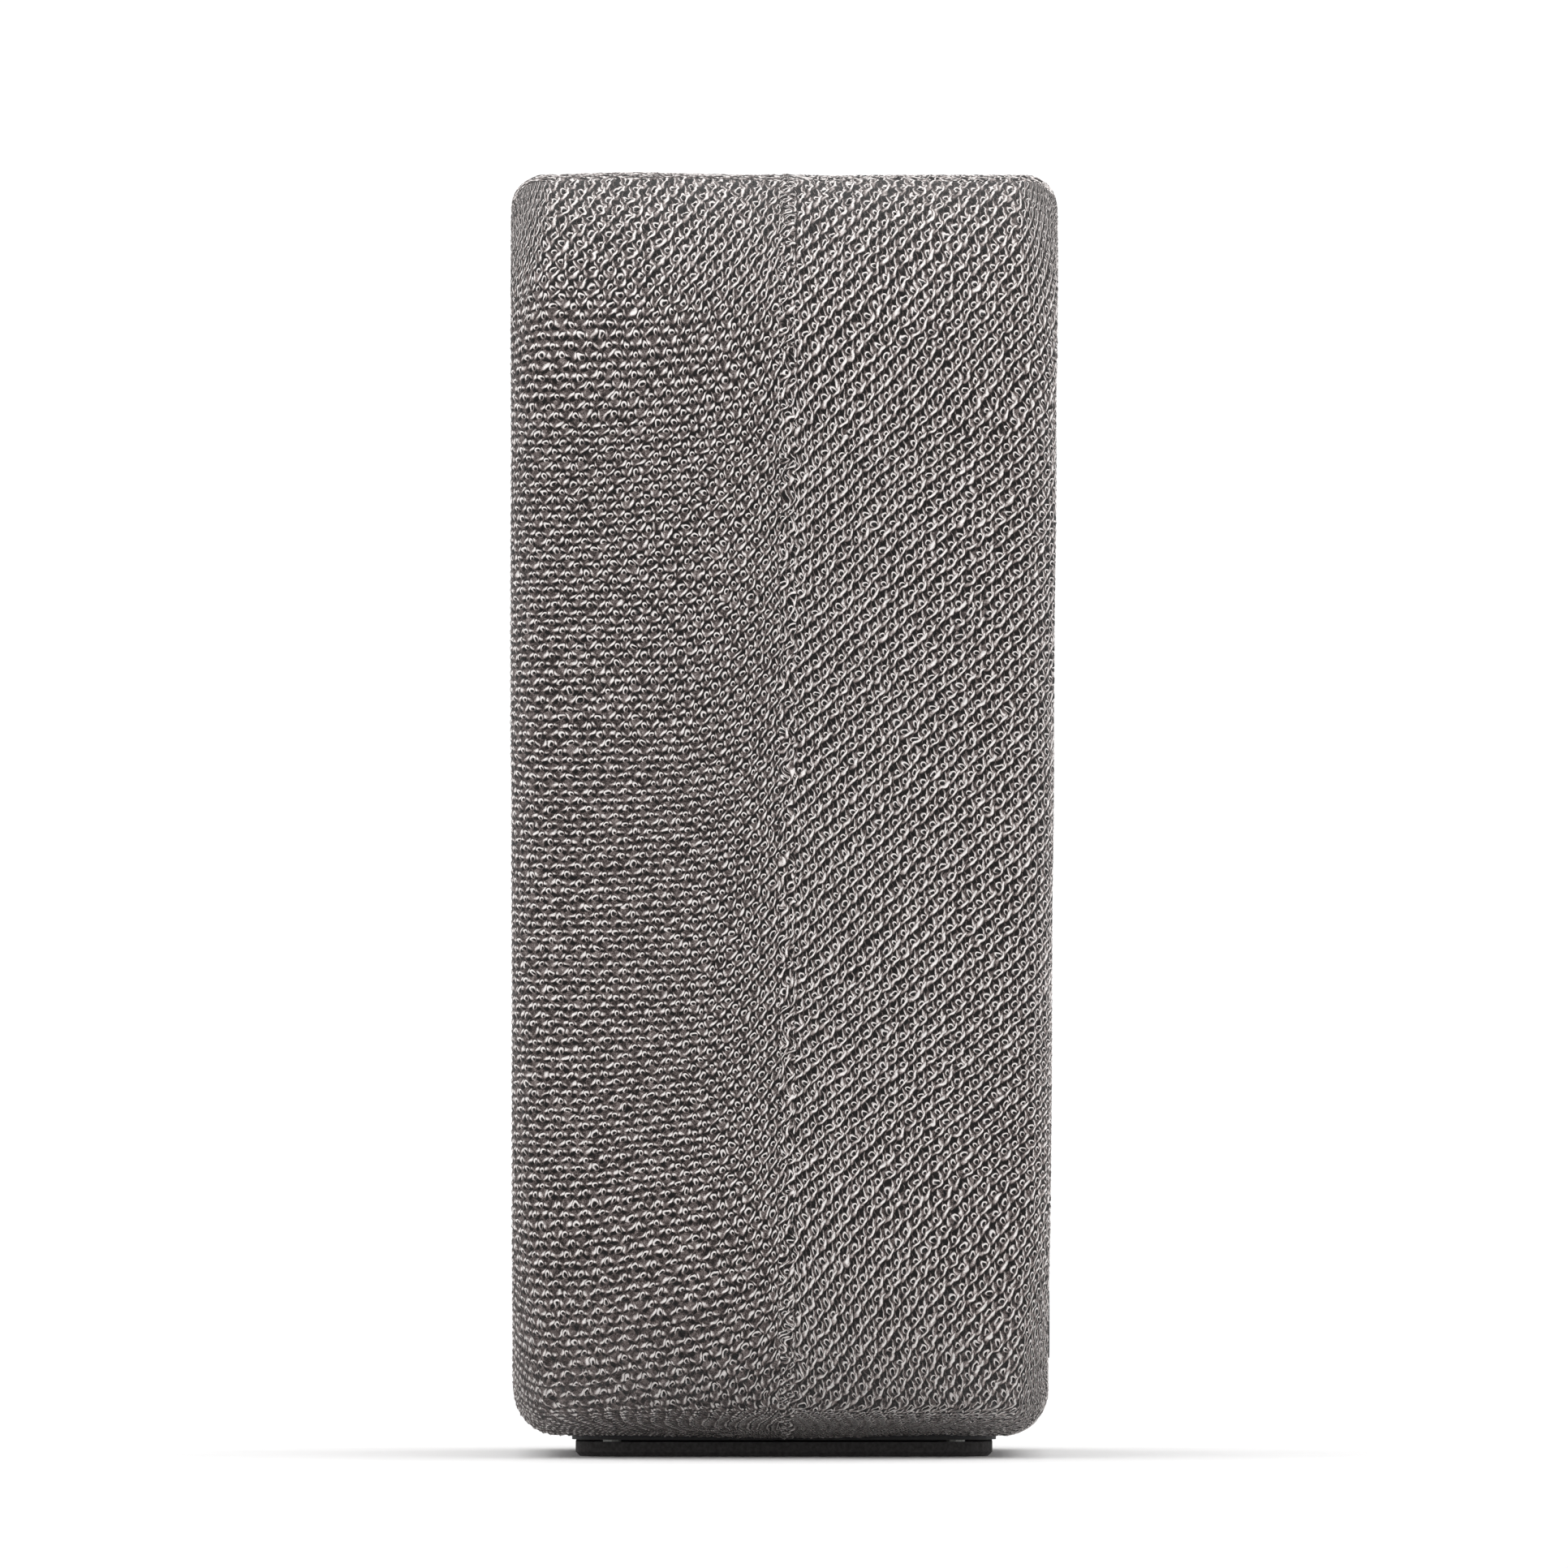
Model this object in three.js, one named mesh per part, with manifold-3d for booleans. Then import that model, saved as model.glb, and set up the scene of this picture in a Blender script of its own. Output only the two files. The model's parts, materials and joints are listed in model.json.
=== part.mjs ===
// Upright smart speaker in a knitted cover, as an assembly of its separate pieces.
// Millimetres, +Z up, front towards -Y. The origin is on the floor, under the middle of the body.
import * as THREE from 'three';
import { mergeVertices } from 'three/addons/utils/BufferGeometryUtils.js';
import Module from 'manifold-3d';

const wasm = await Module();
wasm.setup();

// ---- Driving dimensions ----

const HEIGHT = 175;
const WIDTH = 124;
const DEPTH = 74.4;
const STANDOFF = 3; // the knit hangs this far above the floor
const CORNER_RADIUS = 34; // of the outline seen from the front
const EDGE_RADIUS = 5; // where the front and back faces turn into the side band
const FRONT_DRAFT = 0.33; // how far the front face leans in at the floor
const REAR_DRAFT = 1.4;

const KNIT = 1.4; // thickness of the knitted cover
const WALL = 2.2; // moulded shells
const GAP = 0.3; // between pieces that touch
const SLIP = 0.15; // around a screw in its thread
const OVERLAP = 1; // how far joined shapes and cuts run into each other

const SEAM_Y = 0.4; // the front and rear covers are linked here
const SEAM_WIDTH = 1.2;
const SHELL_JOINT_Y = -8; // the front and rear shells snap together here

const BASE_SIZE = 58; // base plate and foot, across X and Y
const BASE_CORNER = 8;
const PLUG_CORNER = 7; // of the raised plug under the base plate, and of the opening it fills
const BASE_OPENING = 40; // hole in the shells behind the base plate
const BASE_SCREW_AT = 23.5;

const BAFFLE_FRONT = -24.3;
const BAFFLE_BACK = -21.3;
const WOOFER_Z = 70;
const WOOFER_HOLE = 34;
const TWEETER_Z = 136;
const TWEETER_HOLE = 14;
const LED_Z = 114.5;

const INLET_X = -4;
const SWITCH_X = 22;
const PORT_Z = 18.3; // inlet and switch, on the back face

const OUTER = 0;
const SHELL_OUTER = KNIT + GAP;
const SHELL_INNER = SHELL_OUTER + WALL;

// ---- Finishes: colour, roughness, metalness ----

const FINISHES = {
  knit: [0x8a827e, 0.95, 0],
  seamYarn: [0x7c7470, 0.95, 0],
  blackPlastic: [0x1b1c1e, 0.55, 0],
  greyPlastic: [0x77716d, 0.5, 0],
  silicone: [0x2b2a2a, 0.75, 0],
  zincScrew: [0x9a9a98, 0.35, 1],
  steel: [0xa2a4a6, 0.3, 1],
  ferrite: [0x2c2b2d, 0.7, 0],
  aluminium: [0xb9bbbd, 0.35, 1],
  copper: [0xb87345, 0.35, 1],
  paperCone: [0x232324, 0.85, 0],
  rubber: [0x161617, 0.65, 0],
  treatedCloth: [0xb99a5a, 0.9, 0],
  silkDome: [0x1f1f22, 0.6, 0],
  circuitBoard: [0x14402c, 0.45, 0],
  tinplate: [0xbfc0bd, 0.3, 1],
  clearPlastic: [0xdfe3e6, 0.25, 0],
  foam: [0x303032, 0.95, 0],
  polyimide: [0xb4712a, 0.4, 0],
};

const speaker = new THREE.Group();

function addPart(name, geometry, finish) {
  const [color, roughness, metalness] = FINISHES[finish];
  const material = new THREE.MeshStandardMaterial({ color, roughness, metalness });
  const mesh = new THREE.Mesh(geometry, material);
  mesh.name = name;
  speaker.add(mesh);
}

// ---- Joining and cutting ----

function toSolid(geometry) {
  const bare = geometry.clone();
  bare.deleteAttribute('normal');
  bare.deleteAttribute('uv');
  const merged = mergeVertices(bare);
  const mesh = new wasm.Mesh({
    numProp: 3,
    vertProperties: new Float32Array(merged.attributes.position.array),
    triVerts: new Uint32Array(merged.index.array),
  });
  return new wasm.Manifold(mesh);
}

function toGeometry(solid) {
  const { vertProperties, triVerts } = solid.getMesh();
  const geometry = new THREE.BufferGeometry();
  geometry.setAttribute('position', new THREE.BufferAttribute(vertProperties, 3));
  geometry.setIndex(new THREE.BufferAttribute(triVerts, 1));
  geometry.computeVertexNormals();
  return geometry;
}

function join(...geometries) {
  const solids = geometries.map(toSolid);
  return toGeometry(solids.reduce((whole, piece) => whole.add(piece)));
}

function cut(geometry, ...tools) {
  const solids = tools.map(toSolid);
  return toGeometry(solids.reduce((whole, tool) => whole.subtract(tool), toSolid(geometry)));
}

function common(geometry, other) {
  return toGeometry(toSolid(geometry).intersect(toSolid(other)));
}

// ---- Plain shapes, made where they stand ----

function block([x0, x1], [y0, y1], [z0, z1]) {
  const geometry = new THREE.BoxGeometry(x1 - x0, y1 - y0, z1 - z0);
  return geometry.translate((x0 + x1) / 2, (y0 + y1) / 2, (z0 + z1) / 2);
}

function around(centre, size) {
  return [centre - size / 2, centre + size / 2];
}

// A round bar along Y.
function rodY(radius, [y0, y1], x, z, sides = 12) {
  const geometry = new THREE.CylinderGeometry(radius, radius, y1 - y0, sides);
  return geometry.translate(x, (y0 + y1) / 2, z);
}

// A round bar along Z.
function rodZ(radius, [z0, z1], x, y, sides = 12) {
  const geometry = new THREE.CylinderGeometry(radius, radius, z1 - z0, sides);
  return geometry.rotateX(Math.PI / 2).translate(x, y, (z0 + z1) / 2);
}

// A turned piece around an axis along Y, from the [radius, y] points of its section.
function turned(points, x, z, segments = 20) {
  const profile = points.map(([radius, y]) => new THREE.Vector2(radius, y));
  const outward = THREE.ShapeUtils.area(profile) > 0 ? profile : profile.reverse();
  return new THREE.LatheGeometry(outward, segments).translate(x, 0, z);
}

function ring(inner, outer, [y0, y1], x, z, segments = 20) {
  const section = [[inner, y0], [outer, y0], [outer, y1], [inner, y1], [inner, y0]];
  return turned(section, x, z, segments);
}

function roundedOutline([x0, x1], [z0, z1], radius) {
  const shape = new THREE.Shape();
  shape.moveTo(x0 + radius, z0);
  shape.lineTo(x1 - radius, z0);
  shape.absarc(x1 - radius, z0 + radius, radius, -Math.PI / 2, 0);
  shape.lineTo(x1, z1 - radius);
  shape.absarc(x1 - radius, z1 - radius, radius, 0, Math.PI / 2);
  shape.lineTo(x0 + radius, z1);
  shape.absarc(x0 + radius, z1 - radius, radius, Math.PI / 2, Math.PI);
  shape.lineTo(x0, z0 + radius);
  shape.absarc(x0 + radius, z0 + radius, radius, Math.PI, Math.PI * 1.5);
  return shape;
}

// A plate with an outline in X and Z, between two Y values.
function plateY(outline, [y0, y1], curveSegments = 4) {
  const depth = y1 - y0;
  const geometry = new THREE.ExtrudeGeometry(outline, { depth, bevelEnabled: false, curveSegments });
  return geometry.rotateX(Math.PI / 2).translate(0, y1, 0);
}

// A plate with an outline in X and Y, between two Z values, its lower edge rounded by bevel.
function plateZ(outline, [z0, z1], bevel = 0, curveSegments = 4) {
  const options = {
    depth: z1 - z0 - bevel,
    bevelEnabled: bevel > 0,
    bevelThickness: bevel,
    bevelSize: bevel,
    bevelOffset: -bevel,
    bevelSegments: 1,
    curveSegments,
  };
  const plate = new THREE.ExtrudeGeometry(outline, options).translate(0, 0, z0 + bevel);
  const trim = block([-WIDTH, WIDTH], [-WIDTH, WIDTH], [z1, z1 + HEIGHT]);
  return bevel > 0 ? cut(plate, trim) : plate;
}

// ---- The body's form: a rounded outline with rounded edges, leaning in towards the floor ----

function leanIn(geometry) {
  const position = geometry.attributes.position;
  const faceTop = HEIGHT - EDGE_RADIUS;
  for (let i = 0; i < position.count; i += 1) {
    const y = position.getY(i);
    const draft = y < 0 ? FRONT_DRAFT : REAR_DRAFT;
    const drop = 1 - position.getZ(i) / faceTop;
    position.setY(i, y * (1 - (draft * drop) / (DEPTH / 2)));
  }
  return geometry;
}

// The body's form, moved in by inset from its outer surface.
function bodyForm(inset) {
  const edge = EDGE_RADIUS - inset;
  const depth = DEPTH - 2 * inset - 2 * edge;
  const outline = roundedOutline(
    [-WIDTH / 2 + inset, WIDTH / 2 - inset],
    [STANDOFF + inset, HEIGHT - inset],
    CORNER_RADIUS - inset,
  );
  const geometry = new THREE.ExtrudeGeometry(outline, {
    depth,
    bevelThickness: edge,
    bevelSize: edge,
    bevelOffset: -edge,
    bevelSegments: 3,
    curveSegments: 7,
  });
  geometry.rotateX(Math.PI / 2).translate(0, depth / 2, 0);
  return leanIn(geometry);
}

function hollowForm(outerInset, innerInset) {
  return cut(bodyForm(outerInset), bodyForm(innerInset));
}

const FAR = 2 * HEIGHT; // longer than any piece

function inFrontOf(y) {
  return block([-FAR, FAR], [-FAR, y], [-FAR, FAR]);
}

function behind(y) {
  return block([-FAR, FAR], [y, FAR], [-FAR, FAR]);
}

// The back face's Y at a height.
function backFace(z) {
  return DEPTH / 2 - REAR_DRAFT * (1 - z / (HEIGHT - EDGE_RADIUS));
}

// ---- Screws ----

const SCREW_RADIUS = 1.25;
const SCREW_HEAD_RADIUS = 2.4;
const SCREW_HEAD = 1.6;
const SCREW_HOLE = SCREW_RADIUS + GAP;
const THREAD_HOLE = SCREW_RADIUS + SLIP;
const SCREW_SIDES = 8;
const DRIVE_SLOT = 0.7;
const DRIVE_LENGTH = 2.8;
const DRIVE_DEPTH = 0.8;

// A pan-head screw with a slot, its head's seat at the origin and its shank down -Y.
function screwShape(length) {
  const profile = [
    [0, -length],
    [SCREW_RADIUS, -length + 1],
    [SCREW_RADIUS, 0],
    [SCREW_HEAD_RADIUS, 0],
    [SCREW_HEAD_RADIUS * 0.85, SCREW_HEAD],
    [0, SCREW_HEAD],
  ];
  const blank = turned(profile, 0, 0, SCREW_SIDES);
  const depth = [SCREW_HEAD - DRIVE_DEPTH, SCREW_HEAD + 1];
  return cut(blank, block(around(0, DRIVE_LENGTH), depth, around(0, DRIVE_SLOT)));
}

// ---- Knitted cover: front and rear panels, linked along a ridge round the side band ----

const coverOpening = plateZ(
  roundedOutline(around(0, BASE_SIZE + 2 * GAP), around(0, BASE_SIZE + 2 * GAP), BASE_CORNER),
  [-OVERLAP, STANDOFF + KNIT + OVERLAP],
);
const INLET_HOLE = 8.6;
const SWITCH_PLATE = [17.6, 9.6];
const SWITCH_PLATE_CORNER = 4.6;
const PORT_CUT_Y = [26, DEPTH];
const inletCut = rodY(INLET_HOLE, PORT_CUT_Y, INLET_X, PORT_Z, 20);
const switchCut = plateY(
  roundedOutline(
    around(SWITCH_X, SWITCH_PLATE[0] + 2 * GAP),
    around(PORT_Z, SWITCH_PLATE[1] + 2 * GAP),
    SWITCH_PLATE_CORNER,
  ),
  PORT_CUT_Y,
);

const cover = cut(hollowForm(OUTER, KNIT), coverOpening);
const seamFront = SEAM_Y - SEAM_WIDTH / 2;
const seamBack = SEAM_Y + SEAM_WIDTH / 2;
addPart('fabric_cover_front', common(cover, inFrontOf(seamFront - GAP)), 'knit');
addPart('fabric_cover_rear', cut(common(cover, behind(seamBack + GAP)), inletCut, switchCut), 'knit');

const ridgeSlice = block([-FAR, FAR], [seamFront, seamBack], [-FAR, FAR]);
addPart('seam_ridge', common(cover, ridgeSlice), 'seamYarn');

// ---- Front grille: the moulded shell behind the front panel, pierced before the drivers ----

const GRILLE_HOLE = 3.4;
const GRILLE_PITCH = 10.9;
const HOLE_SIDES = 6;
const GRILLE_FRONT = [-DEPTH / 2 - OVERLAP, -DEPTH / 2 + SHELL_INNER + 2 * OVERLAP];

// Hexagon-packed holes inside a circle.
function holeField(z, fieldRadius) {
  const holes = [];
  const rowStep = (GRILLE_PITCH * Math.sqrt(3)) / 2;
  const rows = Math.ceil(fieldRadius / rowStep);
  for (let row = -rows; row <= rows; row += 1) {
    const shift = row % 2 === 0 ? 0 : GRILLE_PITCH / 2;
    for (let column = -rows - 1; column <= rows; column += 1) {
      const x = column * GRILLE_PITCH + shift;
      const height = row * rowStep;
      if (Math.hypot(x, height) < fieldRadius) {
        holes.push(rodY(GRILLE_HOLE, GRILLE_FRONT, x, z + height, HOLE_SIDES));
      }
    }
  }
  return holes;
}

const FRAME_BOSSES = [[-51.5, 45], [51.5, 45], [-51.5, 105], [51.5, 105], [-38, 156], [38, 156]];
const BOSS_RADIUS = 3.2;
const BOSS_FLOOR = 1.6; // left uncut under a boss's thread
const BOSS_SIDES = 8;
const bossFront = -DEPTH / 2 + SHELL_INNER - OVERLAP;
const bossSpan = [bossFront, BAFFLE_FRONT - GAP];
const threadSpan = [bossFront + BOSS_FLOOR, 0];
const frameBosses = FRAME_BOSSES.map(([x, z]) => rodY(BOSS_RADIUS, bossSpan, x, z, BOSS_SIDES));
const frameThreads = FRAME_BOSSES.map(([x, z]) => rodY(THREAD_HOLE, threadSpan, x, z, SCREW_SIDES));

// Bosses in the floor of the shells take the base screws.
const BASE_BOSS_TOP = 15;
const baseBossBottom = STANDOFF + SHELL_INNER - OVERLAP;
const BASE_BOSS_X = [-BASE_SCREW_AT, BASE_SCREW_AT];

// The two bosses of one shell, at the given Y.
function baseBosses(y) {
  return BASE_BOSS_X.map((x) => rodZ(BOSS_RADIUS, [baseBossBottom, BASE_BOSS_TOP], x, y, BOSS_SIDES));
}

function baseThreads(y) {
  return BASE_BOSS_X.map((x) => rodZ(THREAD_HOLE, [0, BASE_BOSS_TOP - 1], x, y, SCREW_SIDES));
}

const shellOpening = plateZ(
  roundedOutline(around(0, BASE_OPENING), around(0, BASE_OPENING), PLUG_CORNER),
  [0, STANDOFF + SHELL_INNER + OVERLAP],
);
const shell = cut(hollowForm(SHELL_OUTER, SHELL_INNER), shellOpening);

const LED_SPACING = 9;
const LED_PLACES = [-1.5, -0.5, 0.5, 1.5].map((step) => step * LED_SPACING);
const LED_WINDOW = 1.4;
const LED_SIDES = 8;
const ledWindows = LED_PLACES.map((x) => rodY(LED_WINDOW, GRILLE_FRONT, x, LED_Z, LED_SIDES));
const MIC_PLACES = [[-22, 160], [22, 160]];
const MIC_PORT = 0.9;
const micPorts = MIC_PLACES.map(([x, z]) => rodY(MIC_PORT, GRILLE_FRONT, x, z, HOLE_SIDES));

const WOOFER_FIELD = 33; // radius of the pierced circle before each driver
const TWEETER_FIELD = 11;
const frontShell = common(shell, inFrontOf(SHELL_JOINT_Y - GAP / 2));
const frontGrille = cut(
  join(frontShell, ...frameBosses, ...baseBosses(-BASE_SCREW_AT)),
  ...frameThreads,
  ...baseThreads(-BASE_SCREW_AT),
  ...holeField(WOOFER_Z, WOOFER_FIELD),
  ...holeField(TWEETER_Z, TWEETER_FIELD),
  ...ledWindows,
  ...micPorts,
);
addPart('front_grille', frontGrille, 'blackPlastic');

// ---- Rear housing: the moulded shell behind the rear panel ----

const rearShell = common(shell, behind(SHELL_JOINT_Y + GAP / 2));
const rearHousing = cut(
  join(rearShell, ...baseBosses(BASE_SCREW_AT)),
  ...baseThreads(BASE_SCREW_AT),
  inletCut,
  switchCut,
);
addPart('rear_housing', rearHousing, 'blackPlastic');

// ---- Base: a plate screwed under both shells, and the silicone foot that hides the screws ----

const FOOT_TOP = 2;
const baseTop = STANDOFF + SHELL_OUTER - GAP;
const baseOutline = roundedOutline(around(0, BASE_SIZE), around(0, BASE_SIZE), BASE_CORNER);
const basePlate = plateZ(baseOutline, [FOOT_TOP + GAP, baseTop]);
const plugSize = BASE_OPENING - 2 * GAP;
const basePlug = plateZ(
  roundedOutline(around(0, plugSize), around(0, plugSize), PLUG_CORNER),
  [baseTop - OVERLAP, STANDOFF + SHELL_INNER],
);
const BASE_SCREWS = {
  base_screw_front_left: [-BASE_SCREW_AT, -BASE_SCREW_AT],
  base_screw_front_right: [BASE_SCREW_AT, -BASE_SCREW_AT],
  base_screw_rear_left: [-BASE_SCREW_AT, BASE_SCREW_AT],
  base_screw_rear_right: [BASE_SCREW_AT, BASE_SCREW_AT],
};
const FOOT_SIDE = BASE_SIZE - 1;
const FOOT_BEVEL = 0.6;
const screwPlaces = Object.values(BASE_SCREWS);
const baseCutSpan = [-OVERLAP, STANDOFF + SHELL_INNER];
const baseCuts = screwPlaces.map(([x, y]) => rodZ(SCREW_HOLE, baseCutSpan, x, y));
addPart('base_plate', cut(join(basePlate, basePlug), ...baseCuts), 'blackPlastic');

const footOutline = roundedOutline(around(0, FOOT_SIDE), around(0, FOOT_SIDE), BASE_CORNER);
const headPocket = [FOOT_TOP - SCREW_HEAD - GAP, FOOT_TOP + OVERLAP];
const headPockets = screwPlaces.map(([x, y]) => rodZ(SCREW_HEAD_RADIUS + GAP, headPocket, x, y));
const footPlate = plateZ(footOutline, [0, FOOT_TOP], FOOT_BEVEL);
addPart('foot_pad', cut(footPlate, ...headPockets), 'silicone');

const BASE_SCREW_LENGTH = 10;
for (const [name, [x, y]] of Object.entries(BASE_SCREWS)) {
  const screw = screwShape(BASE_SCREW_LENGTH).rotateX(-Math.PI / 2);
  addPart(name, screw.translate(x, y, FOOT_TOP), 'zincScrew');
}

// ---- Baffle: the board inside that carries both drivers ----

const baffleInset = SHELL_INNER + 1;
const BAFFLE_FOOT = 16; // clears the base screws' bosses
const baffleOutline = roundedOutline(
  [-WIDTH / 2 + baffleInset, WIDTH / 2 - baffleInset],
  [BAFFLE_FOOT, HEIGHT - baffleInset],
  CORNER_RADIUS - baffleInset,
);
const BAFFLE = [BAFFLE_FRONT, BAFFLE_BACK];
const WOOFER_SCREW_AT = 33;
const WOOFER_SCREWS = {
  woofer_screw_lower_left: [-WOOFER_SCREW_AT, WOOFER_Z - WOOFER_SCREW_AT],
  woofer_screw_lower_right: [WOOFER_SCREW_AT, WOOFER_Z - WOOFER_SCREW_AT],
  woofer_screw_upper_left: [-WOOFER_SCREW_AT, WOOFER_Z + WOOFER_SCREW_AT],
  woofer_screw_upper_right: [WOOFER_SCREW_AT, WOOFER_Z + WOOFER_SCREW_AT],
};
const wooferScrewPlaces = Object.values(WOOFER_SCREWS);
const baffle = cut(
  plateY(baffleOutline, BAFFLE),
  rodY(WOOFER_HOLE, [-FAR, 0], 0, WOOFER_Z, 20),
  rodY(TWEETER_HOLE, [-FAR, 0], 0, TWEETER_Z, 20),
  ...FRAME_BOSSES.map(([x, z]) => rodY(SCREW_HOLE, [-FAR, 0], x, z, SCREW_SIDES)),
  ...wooferScrewPlaces.map(([x, z]) => rodY(THREAD_HOLE, [-FAR, 0], x, z, SCREW_SIDES)),
);
addPart('front_baffle', baffle, 'blackPlastic');

// ---- Acoustic chamber: the sealed box behind the woofer, on a foam gasket ----

const CHAMBER_X = [-48, 48];
const CHAMBER_Z = [30, 118];
const CHAMBER_BACK = 21.5;
const CHAMBER_WALL = 2.5;
const CHAMBER_CORNER = 16;
const FLANGE_LIP = [7, 3.5]; // how far the flange stands out, in X and in Z
const FLANGE_CORNER = CHAMBER_CORNER + 3;
const FLANGE_THICKNESS = 2.5;
const GASKET = 1;
const gasketFront = BAFFLE_BACK + GAP;
const chamberFront = gasketFront + GASKET + GAP;
const flangeX = [CHAMBER_X[0] - FLANGE_LIP[0], CHAMBER_X[1] + FLANGE_LIP[0]];
const flangeZ = [CHAMBER_Z[0] - FLANGE_LIP[1], CHAMBER_Z[1] + FLANGE_LIP[1]];
const flangeOutline = roundedOutline(flangeX, flangeZ, FLANGE_CORNER);
const hollowX = [CHAMBER_X[0] + CHAMBER_WALL, CHAMBER_X[1] - CHAMBER_WALL];
const hollowZ = [CHAMBER_Z[0] + CHAMBER_WALL, CHAMBER_Z[1] - CHAMBER_WALL];
const hollowOutline = roundedOutline(hollowX, hollowZ, CHAMBER_CORNER - CHAMBER_WALL);
const chamberOutline = roundedOutline(CHAMBER_X, CHAMBER_Z, CHAMBER_CORNER);
const flangeScrews = FRAME_BOSSES.slice(0, 4);
const flangeHoles = flangeScrews.map(([x, z]) => rodY(SCREW_HOLE, [-FAR, 0], x, z, SCREW_SIDES));

const BOARD_Y = [24, 25.6];
const BOARD_X = [-40, 40];
const BOARD_Z = [50, 112];
const MOUNT_INSET = 4;
const MOUNT_RADIUS = 2.5;
const mountSpan = [CHAMBER_BACK - OVERLAP, BOARD_Y[0] - GAP];
const boardMounts = [];
for (const x of [BOARD_X[0] + MOUNT_INSET, BOARD_X[1] - MOUNT_INSET]) {
  for (const z of [BOARD_Z[0] + MOUNT_INSET, BOARD_Z[1] - MOUNT_INSET]) {
    boardMounts.push(rodY(MOUNT_RADIUS, mountSpan, x, z, BOSS_SIDES));
  }
}
const TERMINAL_X = 30;
const TERMINAL_Z = 41;
const TERMINAL = [10, 5];
const TERMINAL_TAB = [7, 3.5];
const TAB_REACH = 2.5;
const terminalHole = block(
  around(TERMINAL_X, TERMINAL[0] + 2 * GAP),
  [0, CHAMBER_BACK + OVERLAP],
  around(TERMINAL_Z, TERMINAL[1] + 2 * GAP),
);
const chamber = cut(
  join(
    plateY(flangeOutline, [chamberFront, chamberFront + FLANGE_THICKNESS]),
    plateY(chamberOutline, [chamberFront, CHAMBER_BACK]),
    ...boardMounts,
  ),
  plateY(hollowOutline, [chamberFront - OVERLAP, CHAMBER_BACK - CHAMBER_WALL]),
  terminalHole,
  ...flangeHoles,
);
addPart('acoustic_chamber', chamber, 'blackPlastic');

const gasket = cut(
  plateY(flangeOutline, [gasketFront, gasketFront + GASKET]),
  plateY(hollowOutline, [gasketFront - OVERLAP, gasketFront + GASKET + OVERLAP]),
  ...flangeHoles,
);
addPart('chamber_gasket', gasket, 'foam');

const tabEnd = CHAMBER_BACK + TAB_REACH;
const terminal = join(
  block(
    around(TERMINAL_X, TERMINAL[0]),
    [CHAMBER_BACK - CHAMBER_WALL - 1, CHAMBER_BACK],
    around(TERMINAL_Z, TERMINAL[1]),
  ),
  block(
    around(TERMINAL_X, TERMINAL_TAB[0]),
    [CHAMBER_BACK - OVERLAP / 2, tabEnd],
    around(TERMINAL_Z, TERMINAL_TAB[1]),
  ),
);
addPart('chamber_terminal', terminal, 'greyPlastic');

// Long screws hold chamber, gasket and baffle to the front shell; two short ones hold the baffle's top.
const flangeSeat = chamberFront + FLANGE_THICKNESS + GAP;
const screwTip = bossFront + BOSS_FLOOR + 0.8;
FRAME_BOSSES.forEach(([x, z], index) => {
  const seat = index < flangeScrews.length ? flangeSeat : BAFFLE_BACK + GAP;
  const screw = screwShape(seat - screwTip).translate(x, seat, z);
  addPart(`frame_screw_${index + 1}`, screw, 'zincScrew');
});

// ---- Woofer: fixed frame and magnet, and the moving cone on its surround and spider ----

const FRAME_SHEET = 1.7;
const FLANGE_BACK = BAFFLE_FRONT - GAP;
const FLANGE_FRONT = FLANGE_BACK - FRAME_SHEET;
const FRAME_SIZE = 77;
const FRAME_CORNER = 10;
const frameOutline = roundedOutline(around(0, FRAME_SIZE), around(WOOFER_Z, FRAME_SIZE), FRAME_CORNER);
const frameFlange = cut(
  plateY(frameOutline, [FLANGE_FRONT, FLANGE_BACK]),
  rodY(WOOFER_HOLE - 1, [-FAR, 0], 0, WOOFER_Z, 20),
  ...wooferScrewPlaces.map(([x, z]) => rodY(SCREW_HOLE, [-FAR, 0], x, z, SCREW_SIDES)),
);
const BASKET_BOTTOM = -4.8;
const frameCup = turned(
  [
    [11.2, BASKET_BOTTOM],
    [11.2, BASKET_BOTTOM - 1.5],
    [25, BASKET_BOTTOM - 1.5],
    [25, BASKET_BOTTOM - 4.6],
    [32.4, FLANGE_BACK - 0.1],
    [32.4, FLANGE_FRONT],
    [33.6, FLANGE_FRONT],
    [33.6, FLANGE_BACK + 0.5],
    [26.5, BASKET_BOTTOM - 4.6],
    [26.5, BASKET_BOTTOM],
    [11.2, BASKET_BOTTOM],
  ],
  0,
  WOOFER_Z,
);
const SPOKES = 6;
const WINDOW_WIDTH = 17;
const WINDOW_Y = [-21.5, -11.5];
const WINDOW_REACH = [18, 40];
const frameWindows = [];
for (let index = 0; index < SPOKES; index += 1) {
  const window = block(around(0, WINDOW_WIDTH), WINDOW_Y, WINDOW_REACH);
  window.rotateY((index * 2 * Math.PI) / SPOKES).translate(0, 0, WOOFER_Z);
  frameWindows.push(window);
}
addPart('woofer_frame', cut(join(frameFlange, frameCup), ...frameWindows), 'steel');

const ROLL_CENTRE = 29.6;
const ROLL_RADIUS = 2.8;
const SKIN = 0.45;
const rollFront = FLANGE_FRONT - GAP - SKIN;
const ROLL_STEPS = 5;

// One side of the surround's half roll, from its outer foot over the top to its inner foot.
function rollArc(radius, y) {
  const points = [];
  for (let step = 0; step <= ROLL_STEPS; step += 1) {
    const angle = (step * Math.PI) / ROLL_STEPS;
    points.push([ROLL_CENTRE + radius * Math.cos(angle), y - radius * Math.sin(angle)]);
  }
  return points;
}

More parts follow.
